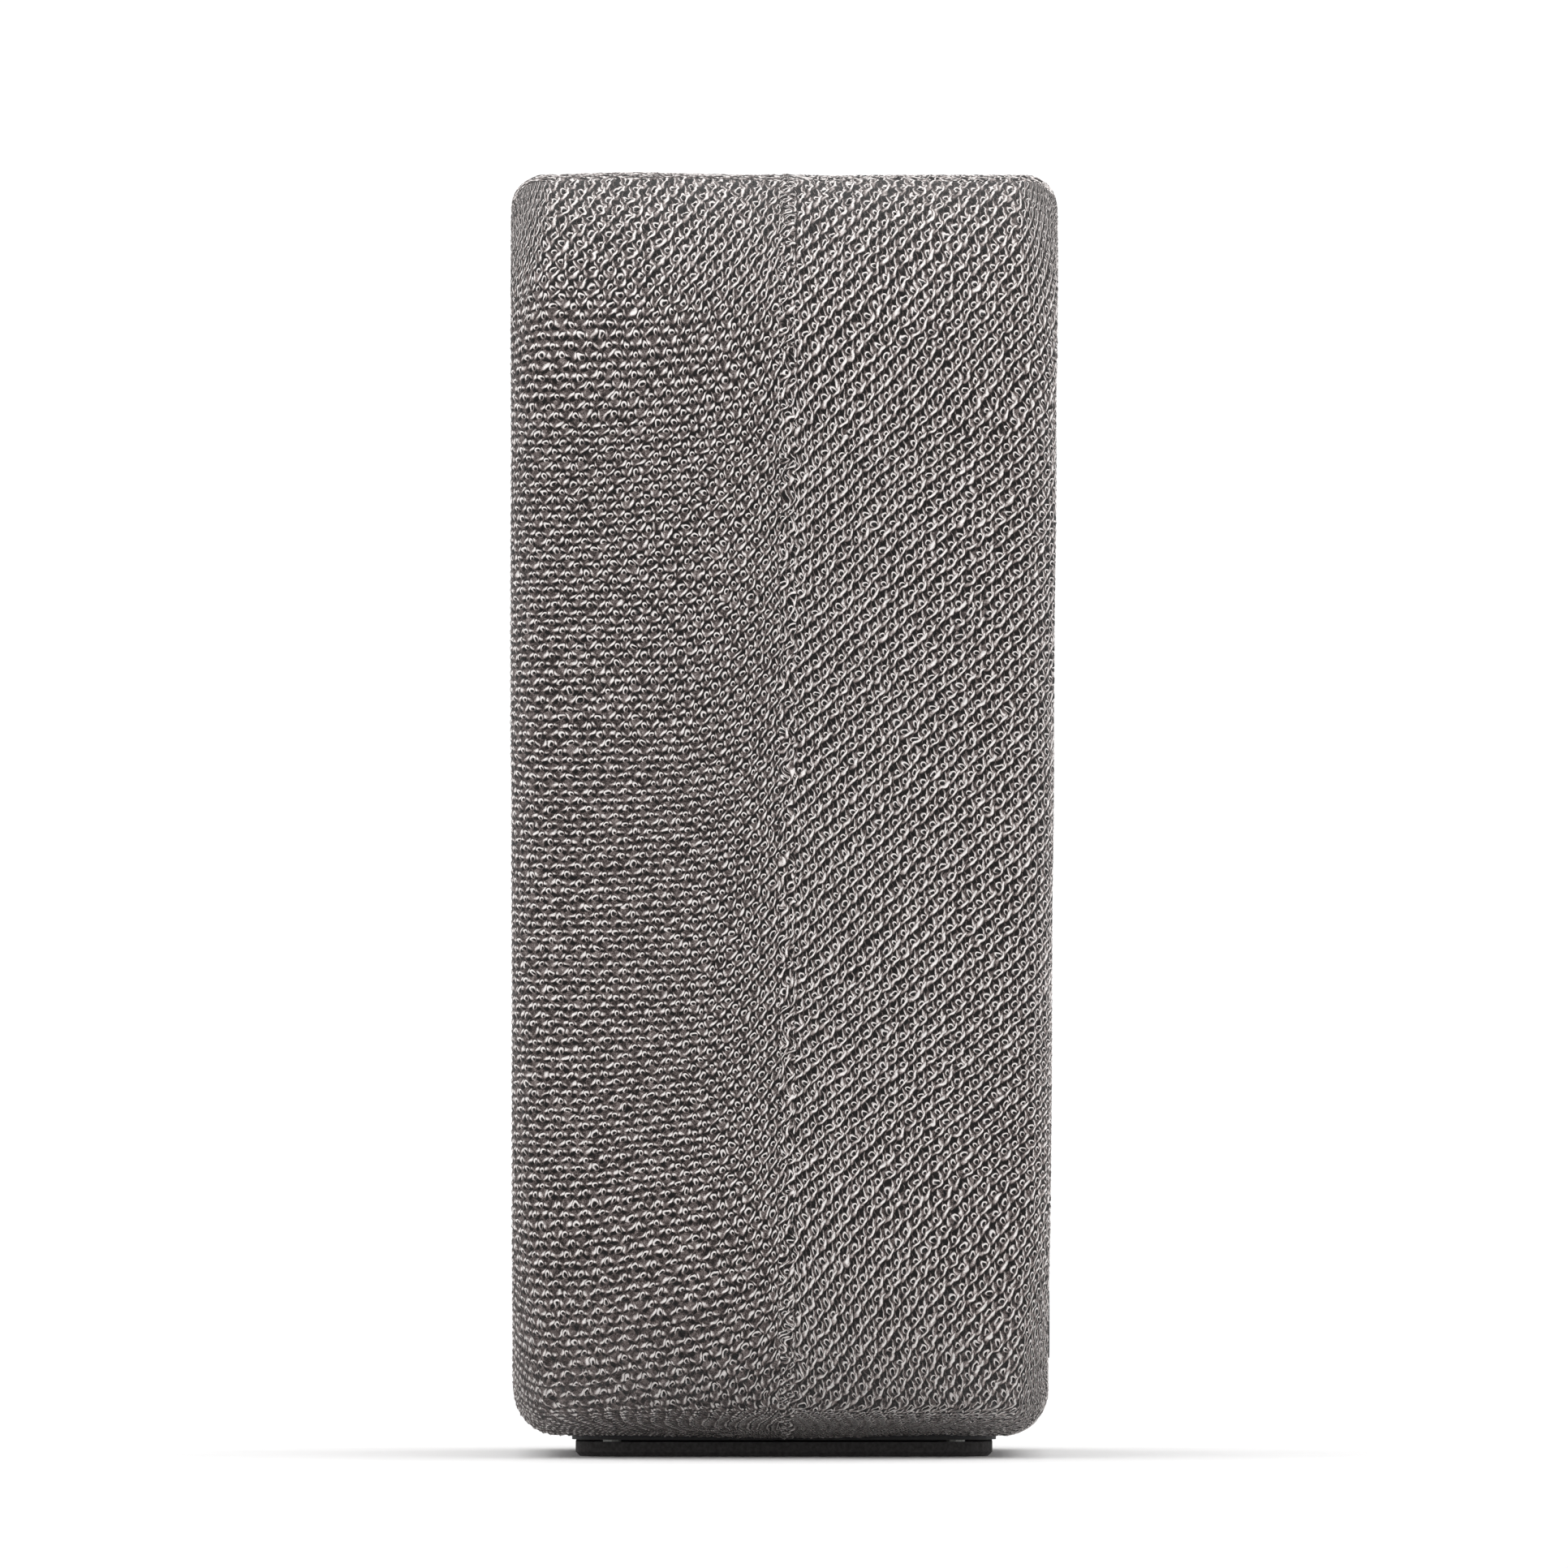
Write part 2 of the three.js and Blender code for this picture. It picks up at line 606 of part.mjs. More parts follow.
const SURROUND_OUTER = 35.5;
const SURROUND_INNER = 25;
const surroundSection = [
  [SURROUND_OUTER, rollFront + SKIN],
  [SURROUND_OUTER, rollFront],
  ...rollArc(ROLL_RADIUS + SKIN / 2, rollFront),
  [SURROUND_INNER, rollFront],
  [SURROUND_INNER, rollFront + SKIN],
  ...rollArc(ROLL_RADIUS - SKIN / 2, rollFront + SKIN).reverse(),
  [SURROUND_OUTER, rollFront + SKIN],
];
addPart('woofer_surround', turned(surroundSection, 0, WOOFER_Z), 'rubber');

const RIM_GASKET = [33.6, 37.4];
const gasketBack = rollFront - GAP;
const rimGasket = ring(...RIM_GASKET, [gasketBack - GASKET, gasketBack], 0, WOOFER_Z);
addPart('woofer_gasket', rimGasket, 'foam');

const CONE_RIM = [26.3, FLANGE_FRONT];
const CONE_WAIST = [19, -20.5];
const CONE_NECK = [10.6, -15];
const CONE_SKIN = 0.8;
const coneSection = [
  CONE_NECK,
  [CONE_NECK[0], CONE_NECK[1] - CONE_SKIN],
  [CONE_WAIST[0], CONE_WAIST[1] - CONE_SKIN],
  [CONE_RIM[0] - 0.6, CONE_RIM[1]],
  CONE_RIM,
  [CONE_RIM[0], CONE_RIM[1] + CONE_SKIN],
  CONE_WAIST,
  CONE_NECK,
];
addPart('woofer_cone', turned(coneSection, 0, WOOFER_Z), 'paperCone');

// A thin spherical cap around the Y axis, bulging to the front, as a closed section.
function capSection({ radius, height, baseY, skin, steps }) {
  const sphere = (radius * radius + height * height) / (2 * height);
  const open = Math.asin(radius / sphere);
  const centreY = baseY - height + sphere;
  const outside = [];
  const inside = [];
  for (let step = 0; step <= steps; step += 1) {
    const angle = (open * step) / steps;
    outside.push([sphere * Math.sin(angle), centreY - sphere * Math.cos(angle)]);
    inside.push([(sphere - skin) * Math.sin(angle), centreY - (sphere - skin) * Math.cos(angle)]);
  }
  return [...outside, ...inside.reverse()];
}

const CAP = { radius: 12, height: 4, baseY: -17.3, skin: 0.6, steps: 5 };
addPart('woofer_dust_cap', turned(capSection(CAP), 0, WOOFER_Z), 'paperCone');

const coilSection = [
  [9.7, -15.6],
  [10.1, -15.6],
  [10.1, -6],
  [10.3, -6],
  [10.3, 3],
  [9.7, 3],
  [9.7, -15.6],
];
addPart('woofer_voice_coil', turned(coilSection, 0, WOOFER_Z), 'copper');

const SPIDER_Y = -8.2;
const SPIDER_WAVES = 4;
const SPIDER_SWELL = 0.7;
const SPIDER_CLOTH = 0.4;
const SPIDER_RADII = [10.7, 24.6];

function spiderLine(offset) {
  const points = [];
  const steps = SPIDER_WAVES * 2;
  for (let step = 0; step <= steps; step += 1) {
    const radius = SPIDER_RADII[0] + ((SPIDER_RADII[1] - SPIDER_RADII[0]) * step) / steps;
    const swell = step % 2 === 0 ? SPIDER_SWELL : -SPIDER_SWELL;
    points.push([radius, SPIDER_Y + offset + swell]);
  }
  return points;
}

const spiderSection = [...spiderLine(0), ...spiderLine(SPIDER_CLOTH).reverse(), spiderLine(0)[0]];
addPart('woofer_spider', turned(spiderSection, 0, WOOFER_Z, 18), 'treatedCloth');

const TOP_PLATE = [-4.5, -0.3];
const MAGNET = [0, 12];
const BACK_PLATE = [12.3, 16.3];
addPart('woofer_top_plate', ring(10.9, 25, TOP_PLATE, 0, WOOFER_Z), 'steel');
addPart('woofer_magnet', ring(14, 27, MAGNET, 0, WOOFER_Z), 'ferrite');
const poleSection = [
  [3, TOP_PLATE[0]],
  [9.2, TOP_PLATE[0]],
  [9.2, BACK_PLATE[0]],
  [25, BACK_PLATE[0]],
  [25, BACK_PLATE[1]],
  [3, BACK_PLATE[1]],
  [3, TOP_PLATE[0]],
];
addPart('woofer_pole_piece', turned(poleSection, 0, WOOFER_Z), 'steel');

const WOOFER_SCREW_LENGTH = 7;
for (const [name, [x, z]] of Object.entries(WOOFER_SCREWS)) {
  const screw = screwShape(WOOFER_SCREW_LENGTH).rotateX(Math.PI);
  addPart(name, screw.translate(x, FLANGE_FRONT - GAP, z), 'zincScrew');
}

// ---- Tweeter: a 19 mm soft dome in a round faceplate, with a small cup magnet ----

function tweeterTurned(section) {
  return turned(section, 0, TWEETER_Z);
}

function disc(radius, [y0, y1]) {
  return tweeterTurned([[0, y0], [radius, y0], [radius, y1], [0, y1]]);
}

const hornSection = [
  [10.6, FLANGE_BACK],
  [10.6, FLANGE_BACK - 0.8],
  [13.4, FLANGE_FRONT - 0.4],
  [16, FLANGE_FRONT - 0.4],
  [16, FLANGE_BACK],
  [10.6, FLANGE_BACK],
];
addPart('tweeter_faceplate', tweeterTurned(hornSection), 'blackPlastic');
const DOME = { radius: 9.5, height: 3.4, baseY: -25.2, skin: 0.35, steps: 4 };
addPart('tweeter_dome', tweeterTurned(capSection(DOME)), 'silkDome');
addPart('tweeter_voice_coil', ring(9, 9.4, [-24.8, -20.2], 0, TWEETER_Z), 'copper');
addPart('tweeter_pole_plate', disc(8.6, [-21.6, -19.6]), 'steel');
addPart('tweeter_magnet', disc(8, [-19.3, -15.3]), 'steel');
const yokeSection = [
  [0, -15],
  [9.9, -15],
  [9.9, BAFFLE_FRONT],
  [13, BAFFLE_FRONT],
  [13, -13],
  [0, -13],
];
addPart('tweeter_yoke', tweeterTurned(yokeSection), 'steel');

// ---- Electronics: main board with its shield and heat spreader, on the chamber's back ----

addPart('main_board', block(BOARD_X, BOARD_Y, BOARD_Z), 'circuitBoard');

const SHIELD = [38, 2.4, 34];
const SHIELD_SHEET = 0.5;
const SHIELD_X = -8;
const SHIELD_Z = 84;
const shieldFront = BOARD_Y[1] + GAP;
const shieldBack = shieldFront + SHIELD[1];
const shieldOuter = block(
  around(SHIELD_X, SHIELD[0]),
  [shieldFront, shieldBack],
  around(SHIELD_Z, SHIELD[2]),
);
const shieldHollow = block(
  around(SHIELD_X, SHIELD[0] - 2 * SHIELD_SHEET),
  [shieldFront - OVERLAP, shieldBack - SHIELD_SHEET],
  around(SHIELD_Z, SHIELD[2] - 2 * SHIELD_SHEET),
);
addPart('shield_can', cut(shieldOuter, shieldHollow), 'tinplate');

const SPREADER_PLATE = 1.2;
const SPREADER_RIB = [2, 2.6];
const RIB_PITCH = 24;
const spreaderFront = shieldBack + GAP;
const spreaderPlate = block([-38, 38], [spreaderFront, spreaderFront + SPREADER_PLATE], [54, 110]);
const spreaderRibs = [-1, 0, 1].map((step) => block(
  around(step * RIB_PITCH, SPREADER_RIB[0]),
  [spreaderFront + SPREADER_PLATE / 2, spreaderFront + SPREADER_RIB[1]],
  [56, 108],
));
addPart('heat_spreader', join(spreaderPlate, ...spreaderRibs), 'aluminium');

// ---- Power inlet and its board, in a round well in the back face ----

const WELL_RADIUS = 6.6;
const PROUD = 0.3; // how far the well and the switch plate stand out of the shell
const JACK_Y = [14.5, 26];
const JACK_WIDTH = 14;
const JACK_BORE = 3.1;
const IO_BOARD_Z = [9.9, 11.5];
const ioBoardTop = IO_BOARD_Z[1] + GAP;
const wellSpan = [JACK_Y[1] + GAP, backFace(PORT_Z) + PROUD];
const well = ring(WELL_RADIUS, INLET_HOLE - GAP, wellSpan, INLET_X, PORT_Z, 20);
addPart('inlet_well', well, 'blackPlastic');
const jackBody = block(around(INLET_X, JACK_WIDTH), JACK_Y, [ioBoardTop, PORT_Z + 6]);
const jackBore = rodY(JACK_BORE, [JACK_Y[0] + 2.5, JACK_Y[1] + OVERLAP], INLET_X, PORT_Z);
addPart('dc_jack', cut(jackBody, jackBore), 'blackPlastic');
const pinSection = [
  [0, 17.3],
  [0.9, 17.3],
  [0.9, 24.2],
  [0.5, 24.9],
  [0, 24.9],
];
addPart('dc_jack_pin', turned(pinSection, INLET_X, PORT_Z, 10), 'tinplate');
const ioBoard = cut(
  join(
    block([-14, 32], [11, JACK_Y[1]], IO_BOARD_Z),
    block([17, 30], [JACK_Y[1] - OVERLAP, 31], IO_BOARD_Z),
  ),
  rodZ(BOSS_RADIUS + GAP, [0, HEIGHT], BASE_SCREW_AT, BASE_SCREW_AT, BOSS_SIDES),
);
addPart('io_board', ioBoard, 'circuitBoard');

// ---- Microphone switch: a slide knob in an oval plate in the back face ----

const SWITCH_TRAVEL = 2.5;
const KNOB = [5, 3.2];
const KNOB_SHOULDER = 1.6; // wider than the knob all round, so that the plate keeps it in
const PLATE_DEPTH = 2.6;
const FINGER_DISH = 1; // a shallow dish round the slot
const slotLength = KNOB[0] + SWITCH_TRAVEL + 2 * GAP;
const slotX = SWITCH_X + SWITCH_TRAVEL / 2;
const plateBack = backFace(PORT_Z) + PROUD;
const plateFront = plateBack - PLATE_DEPTH;
const switchOutline = roundedOutline(
  around(SWITCH_X, SWITCH_PLATE[0]),
  around(PORT_Z, SWITCH_PLATE[1]),
  SWITCH_PLATE_CORNER,
);
const knobSlot = block(around(slotX, slotLength), [0, FAR], around(PORT_Z, KNOB[1] + 2 * GAP));
const fingerDish = block(
  around(slotX, slotLength + 2 * FINGER_DISH),
  [plateBack - FINGER_DISH, FAR],
  around(PORT_Z, KNOB[1] + 2.4),
);
const switchPlate = cut(plateY(switchOutline, [plateFront, plateBack]), knobSlot, fingerDish);
addPart('switch_plate', switchPlate, 'blackPlastic');

const STEM = [2, 1.6];
const STEM_REACH = 2.4;
const knobFront = plateFront - 1.2;
const switchBack = backFace(PORT_Z) - SHELL_INNER - 2 * GAP;
const knob = join(
  block(around(SWITCH_X, KNOB[0]), [knobFront, plateBack - 0.9], around(PORT_Z, KNOB[1])),
  block(
    around(SWITCH_X, KNOB[0] + KNOB_SHOULDER),
    [knobFront, plateFront - GAP],
    around(PORT_Z, KNOB[1] + KNOB_SHOULDER),
  ),
  block(
    around(SWITCH_X, STEM[0]),
    [switchBack - STEM_REACH, knobFront + OVERLAP / 2],
    around(PORT_Z, STEM[1]),
  ),
);
const GROOVE = [0.4, 0.4]; // width and depth
const GROOVE_PITCH = 1.3;
const grooves = [-1, 0, 1].map((step) => block(
  around(SWITCH_X + step * GROOVE_PITCH, GROOVE[0]),
  [plateBack - 0.9 - GROOVE[1], plateBack],
  around(PORT_Z, KNOB[1] + OVERLAP),
));
addPart('mute_slider', cut(knob, ...grooves), 'greyPlastic');

const SWITCH_BODY = [10.5, 4];
const switchBody = block(
  around(slotX, SWITCH_BODY[0]),
  [switchBack - SWITCH_BODY[1], switchBack],
  [ioBoardTop, PORT_Z + 2.6],
);
const stemSlot = block(
  around(slotX, STEM[0] + SWITCH_TRAVEL + 2 * GAP),
  [switchBack - STEM_REACH - GAP, switchBack + OVERLAP],
  around(PORT_Z, STEM[1] + 2 * GAP),
);
addPart('mute_switch', cut(switchBody, stemSlot), 'tinplate');

// ---- Touch, lights, microphones and aerials ----

const TOUCH_Z = [168.4, 169.6];
addPart('touch_board', block([-27, 27], [-13, 13], TOUCH_Z), 'circuitBoard');
const LIGHT_BAR = [40, 1.6, 4];
const GUIDE_POST = 1.1;
const lightFront = -DEPTH / 2 + SHELL_INNER + FRONT_DRAFT + 0.4;
const postSpan = [lightFront - 1.2, lightFront + LIGHT_BAR[1] / 2];
const guidePosts = LED_PLACES.map((x) => rodY(GUIDE_POST, postSpan, x, LED_Z, LED_SIDES));
const guideBar = block(
  around(0, LIGHT_BAR[0]),
  [lightFront, lightFront + LIGHT_BAR[1]],
  around(LED_Z, LIGHT_BAR[2]),
);
addPart('light_guide', join(guideBar, ...guidePosts), 'clearPlastic');
const LED_BOARD = [44, 1, 5];
const ledBoardFront = lightFront + LIGHT_BAR[1] + GAP;
const ledBoard = block(
  around(0, LED_BOARD[0]),
  [ledBoardFront, ledBoardFront + LED_BOARD[1]],
  around(LED_Z, LED_BOARD[2]),
);
addPart('led_board', ledBoard, 'circuitBoard');
const MIC_BOARD = [11, 1.2, 8];
MIC_PLACES.forEach(([x, z], index) => {
  const side = index === 0 ? 'left' : 'right';
  const boardSpan = [lightFront, lightFront + MIC_BOARD[1]];
  const board = block(around(x, MIC_BOARD[0]), boardSpan, around(z, MIC_BOARD[2]));
  addPart(`mic_board_${side}`, board, 'circuitBoard');
});
const AERIAL = [0.8, [0, 9], [122, 147]];
for (const [name, x] of [['aerial_left', -52], ['aerial_right', 52]]) {
  addPart(name, block(around(x, AERIAL[0]), AERIAL[1], AERIAL[2]), 'polyimide');
}

// A strip or wire along a smooth curve through the given points.
function alongCurve(points, outline, steps) {
  const path = new THREE.CatmullRomCurve3(points.map(([x, y, z]) => new THREE.Vector3(x, y, z)));
  return new THREE.ExtrudeGeometry(outline, { steps, extrudePath: path, curveSegments: 8 });
}

const ribbonSection = new THREE.Shape([
  new THREE.Vector2(-5, -0.2),
  new THREE.Vector2(5, -0.2),
  new THREE.Vector2(5, 0.2),
  new THREE.Vector2(-5, 0.2),
]);
const ribbonRoute = [[20, 26.3, 104], [20, 26.3, 118], [20, 23, 142], [20, 13, 161], [20, 0, 167.8]];
addPart('touch_ribbon', alongCurve(ribbonRoute, ribbonSection, 16), 'polyimide');

const WIRE_RADIUS = 0.8;
const wireSection = new THREE.Shape().absarc(0, 0, WIRE_RADIUS, 0, 2 * Math.PI);
const wireFoot = tabEnd + GAP + WIRE_RADIUS;
const harnessRoute = [[30, wireFoot, 41], [31, wireFoot + 1.6, 43], [33, 28.4, 47], [33, 28.6, 54]];
addPart('speaker_harness', alongCurve(harnessRoute, wireSection, 10), 'rubber');

export default speaker;
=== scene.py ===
"""An upright smart speaker in a knitted cover: two knitted panels linked along the side band, drawn over
moulded shells that hold a woofer, a tweeter and their boards, standing on a silicone foot."""

import json
import math

import bpy
import numpy as np
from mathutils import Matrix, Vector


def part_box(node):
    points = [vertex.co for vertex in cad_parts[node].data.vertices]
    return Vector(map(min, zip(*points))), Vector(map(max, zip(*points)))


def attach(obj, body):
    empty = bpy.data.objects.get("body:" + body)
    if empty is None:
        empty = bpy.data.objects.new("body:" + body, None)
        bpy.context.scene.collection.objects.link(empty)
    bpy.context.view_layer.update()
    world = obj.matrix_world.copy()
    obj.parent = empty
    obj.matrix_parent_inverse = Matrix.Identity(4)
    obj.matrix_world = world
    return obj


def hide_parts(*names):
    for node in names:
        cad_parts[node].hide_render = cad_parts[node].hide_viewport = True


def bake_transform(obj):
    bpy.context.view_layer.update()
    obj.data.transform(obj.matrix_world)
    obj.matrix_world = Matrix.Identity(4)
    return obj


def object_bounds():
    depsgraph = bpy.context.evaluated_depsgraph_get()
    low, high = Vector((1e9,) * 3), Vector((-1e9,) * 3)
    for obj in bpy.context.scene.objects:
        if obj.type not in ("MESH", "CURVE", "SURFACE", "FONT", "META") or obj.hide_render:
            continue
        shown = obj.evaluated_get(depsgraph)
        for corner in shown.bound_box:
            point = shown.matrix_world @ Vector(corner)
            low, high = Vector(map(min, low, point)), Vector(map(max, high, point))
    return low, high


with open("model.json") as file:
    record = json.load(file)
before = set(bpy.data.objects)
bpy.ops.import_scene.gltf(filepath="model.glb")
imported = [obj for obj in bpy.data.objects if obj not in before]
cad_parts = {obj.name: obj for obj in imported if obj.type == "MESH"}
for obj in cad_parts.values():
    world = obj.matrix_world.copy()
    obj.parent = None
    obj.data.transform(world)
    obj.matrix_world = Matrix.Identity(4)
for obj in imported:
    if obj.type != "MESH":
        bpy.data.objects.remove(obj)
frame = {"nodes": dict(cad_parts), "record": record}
cad_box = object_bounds()
MM = 0.001

# ---- Studio ----
# A white table in a white room, with a small softbox high over each side of the speaker, so that the light
# falls off towards the foot. The camera stands level with the middle of the side, far back.

scene = bpy.context.scene
scene.view_settings.view_transform = "Standard"

CAMERA_DISTANCE = 6.0
CAMERA_HEIGHT = 91.9 * MM
FRAME_WIDTH = 213.0 * MM  # seen across the picture, at the speaker's side
SENSOR = 36.0

camera_data = bpy.data.cameras.new("camera")
camera_data.sensor_width = SENSOR
camera_data.lens = SENSOR * (CAMERA_DISTANCE - cad_box[1][0]) / FRAME_WIDTH
camera_data.clip_end = 50.0
camera = bpy.data.objects.new("camera", camera_data)
camera.location = (CAMERA_DISTANCE, 0.0, CAMERA_HEIGHT)
camera.rotation_euler = (math.radians(90), 0.0, math.radians(90))
scene.collection.objects.link(camera)
scene.camera = camera

ROOM_LIGHT = 1.1
room = bpy.data.worlds.new("white_room")
room.use_nodes = True
room.node_tree.nodes["Background"].inputs["Color"].default_value = (1.0, 1.0, 1.0, 1.0)
room.node_tree.nodes["Background"].inputs["Strength"].default_value = ROOM_LIGHT
scene.world = room

SOFTBOX = 0.12  # across, in metres, and its place out from the middle and up
SOFTBOX_OUT = 0.22
SOFTBOX_UP = 0.28
SOFTBOX_TILT = math.radians(50)
SOFTBOX_WATTS = 0.10
for side in range(4):
    data = bpy.data.lights.new(f"softbox_{side}", "AREA")
    data.size = SOFTBOX
    data.energy = SOFTBOX_WATTS
    light = bpy.data.objects.new(f"softbox_{side}", data)
    turn = side * math.pi / 2
    light.location = (SOFTBOX_OUT * math.cos(turn), SOFTBOX_OUT * math.sin(turn), SOFTBOX_UP)
    light.rotation_euler = (0.0, SOFTBOX_TILT, turn)
    light.visible_camera = False
    scene.collection.objects.link(light)


def linear(hex_colour):
    """An sRGB hex colour as linear RGBA."""
    channels = [int(hex_colour[i : i + 2], 16) / 255 for i in (0, 2, 4)]
    return [c / 12.92 if c <= 0.04045 else ((c + 0.055) / 1.055) ** 2.4 for c in channels] + [1.0]


def add_node(tree, kind, inputs=None, **settings):
    """Adds a node, sets its properties and fills its inputs with values or with other nodes' sockets."""
    new = tree.nodes.new(kind)
    for name, value in settings.items():
        setattr(new, name, value)
    for name, value in (inputs or {}).items():
        if isinstance(value, bpy.types.NodeSocket):
            tree.links.new(value, new.inputs[name])
        else:
            new.inputs[name].default_value = value
    return new


def finish(name, pattern, stops, depth, **shader):
    """A material whose colour and fine relief both follow one pattern. pattern(tree) gives a socket from
    0 to 1, stops are (position, hex colour) along it, depth is the relief's height, and shader gives the
    shader's fixed values."""
    material = bpy.data.materials.new(name)
    material.use_nodes = True
    tree = material.node_tree
    tree.nodes.clear()
    height = pattern(tree)
    colours = add_node(tree, "ShaderNodeValToRGB", {"Fac": height})
    ramp = colours.color_ramp
    ramp.elements[0].position, ramp.elements[0].color = stops[0][0], linear(stops[0][1])
    ramp.elements[1].position, ramp.elements[1].color = stops[-1][0], linear(stops[-1][1])
    for position, colour in stops[1:-1]:
        ramp.elements.new(position).color = linear(colour)
    relief = add_node(tree, "ShaderNodeBump", {"Height": height, "Distance": depth})
    values = {"Base Color": colours.outputs["Color"], "Normal": relief.outputs["Normal"]}
    values.update({key.replace("_", " "): value for key, value in shader.items()})
    body = add_node(tree, "ShaderNodeBsdfPrincipled", values)
    add_node(tree, "ShaderNodeOutputMaterial", {"Surface": body.outputs["BSDF"]})
    return material


def speckle(size, detail=2.0, stretch=(1.0, 1.0, 1.0)):
    """A pattern of soft grains about size apart, drawn out along the axes by stretch."""

    def pattern(tree):
        place = add_node(tree, "ShaderNodeTexCoord")
        scaled = add_node(
            tree,
            "ShaderNodeMapping",
            {"Vector": place.outputs["Object"], "Scale": [1 / (size * s) for s in stretch]},
        )
        grains = add_node(
            tree, "ShaderNodeTexNoise", {"Vector": scaled.outputs["Vector"], "Scale": 1.0, "Detail": detail}
        )
        return grains.outputs["Fac"]

    return pattern


def dress(slot, material):
    """Gives a material to every carried-over piece of one slot."""
    for part in frame["record"]["subparts"]:
        if part["material_slot"] == slot:
            for place in frame["nodes"][part["node"]].material_slots:
                place.material = material


def mesh_piece(name, points, faces, material):
    """A new smooth object from points, in metres, and quads."""
    mesh = bpy.data.meshes.new(name)
    faces = np.asarray(faces, np.int32)
    corners = faces.shape[1]
    mesh.vertices.add(len(points))
    mesh.vertices.foreach_set("co", np.asarray(points, np.float32).ravel())
    mesh.loops.add(faces.size)
    mesh.loops.foreach_set("vertex_index", faces.ravel())
    mesh.polygons.add(len(faces))
    mesh.polygons.foreach_set("loop_start", np.arange(0, faces.size, corners, dtype=np.int32))
    mesh.polygons.foreach_set("use_smooth", np.ones(len(faces), bool))
    mesh.update(calc_edges=True)
    mesh.materials.append(material)
    piece = bpy.data.objects.new(name, mesh)
    scene.collection.objects.link(piece)
    return piece


# The table top is matt white laminate, rolled smooth. It gives the eye nothing but the contact shadow.
laminate = finish(
    "laminate_rolled_white",
    speckle(25 * MM),
    [(0.3, "f7f7f7"), (0.7, "fafafa")],
    0.01 * MM,
    Roughness=0.9,
)
TABLE_HALF = 4.0
table_corners = [(x * TABLE_HALF, y * TABLE_HALF, 0.0) for x, y in ((-1, -1), (1, -1), (1, 1), (-1, 1))]
table = mesh_piece("table", table_corners, [(0, 1, 2, 3)], laminate)

# ---- Foot ----
# A rounded-square pad of dark grey silicone, compression moulded and stuck under the base plate, over its
# screws. It is matt, with a faint bloom of moulding powder.

silicone = finish(
    "silicone_moulded",
    speckle(0.5 * MM),
    [(0.35, "333131"), (0.7, "464444")],
    0.01 * MM,
    Roughness=0.9,
    IOR=1.41,
)
dress("silicone", silicone)

# ---- Shells, baffle, chamber and base plate ----
# Injection-moulded ABS in black. The tool was spark eroded, so the skin is an even, fine grain that breaks
# up the gloss. The grain is drawn at 0.25 mm, coarser than the real one, so that it shows.

abs_black = finish(
    "abs_moulded",
    speckle(0.25 * MM, 3.0),
    [(0.3, "101012"), (0.7, "19191b")],
    0.02 * MM,
    Roughness=0.58,
    IOR=1.53,
)
dress("black_plastic", abs_black)

# ---- Screws ----
# Steel, cold headed and zinc plated. Bright grey with a slightly cloudy film.

zinc = finish(
    "steel_zinc_plated",
    speckle(0.35 * MM, 3.0),
    [(0.3, "8f908d"), (0.7, "b9bab6")],
    0.01 * MM,
    Metallic=1.0,
    Roughness=0.36,
)
dress("zinc_screw", zinc)

# ---- Gaskets ----
# Die-cut closed-cell foam, stuck on one face. The cut cells make it pitted and quite matt.


def cells(size):
    """A pattern of rounded cells about size apart."""

    def pattern(tree):
        place = add_node(tree, "ShaderNodeTexCoord")
        pits = add_node(
            tree,
            "ShaderNodeTexVoronoi",
            {"Vector": place.outputs["Object"], "Scale": 1 / size, "Randomness": 0.9},
        )
        return pits.outputs["Distance"]

    return pattern


foam = finish(
    "foam_closed_cell",
    cells(0.5 * MM),
    [(0.1, "151516"), (0.7, "323233")],
    0.08 * MM,
    Roughness=1.0,
)
dress("foam", foam)

# ---- The stitch of the cover ----
# The cover is a pique knit in heathered polyester: V-shaped loops in rows, each row shifted by half a loop,
# with a small back loop seen between them. The right arm leans, the left one stands up where the cloth is
# pulled open. The stitch is one recipe of plain sums, in loops across and rows up. Each pair of numbers
# here is a share of the openness and a value in closed cloth, added together.

WALE = 2.5 * MM  # one loop across
COURSE = 1.135 * MM  # one row up
OPENED_MOST = 0.7
FOOT = (-0.35, -0.12)  # where a loop's two arms meet, in rows
LEFT_RISE = (2.7, 0.34)  # how many rows an arm climbs
RIGHT_RISE = (0.80, 0.66)
LEFT_END = (-0.14, 0.31)  # where an arm dives under the next loop, in loops from the middle
RIGHT_END = (0.24, 0.28)
TALL_RISE, TALL_END = 1.0, -0.16  # added to the right arm where the cloth is open by more than 1
LOOP_CURVE = 1.35  # the power that bows an arm
LOOP_HALF = 0.23  # half a strand's width, in rows
DIVE = (3.5, -3.3)  # how fast an arm dives along its way, and when
ARM_LIFT = (0.78, 0.30)  # an arm's height: what it gains towards its end, and at its foot
LEFT_DROP = 0.18  # the left arm's foot lies lower than that, and the right one's a little higher
RIGHT_GAIN = 0.22
BACK_LOOP_AT = (0.28, -0.02)  # the back loop's middle, in loops across
BACK_LOOP_UP = (-0.64, 0.98)  # and in rows up
BACK_LOOP_HALF = (0.12, 0.27)  # its half width and half height
PIT_DEPTH_AND_SHADE = (0.70, 0.74)  # the depth of the hole in the back loop, which the colour ramp paints near black as shade
PILE, SHADE_CUT_LEVEL = 0.28, 0.46  # the height of the cloth behind, and the level at which the painted shade under the arms starts to cut it
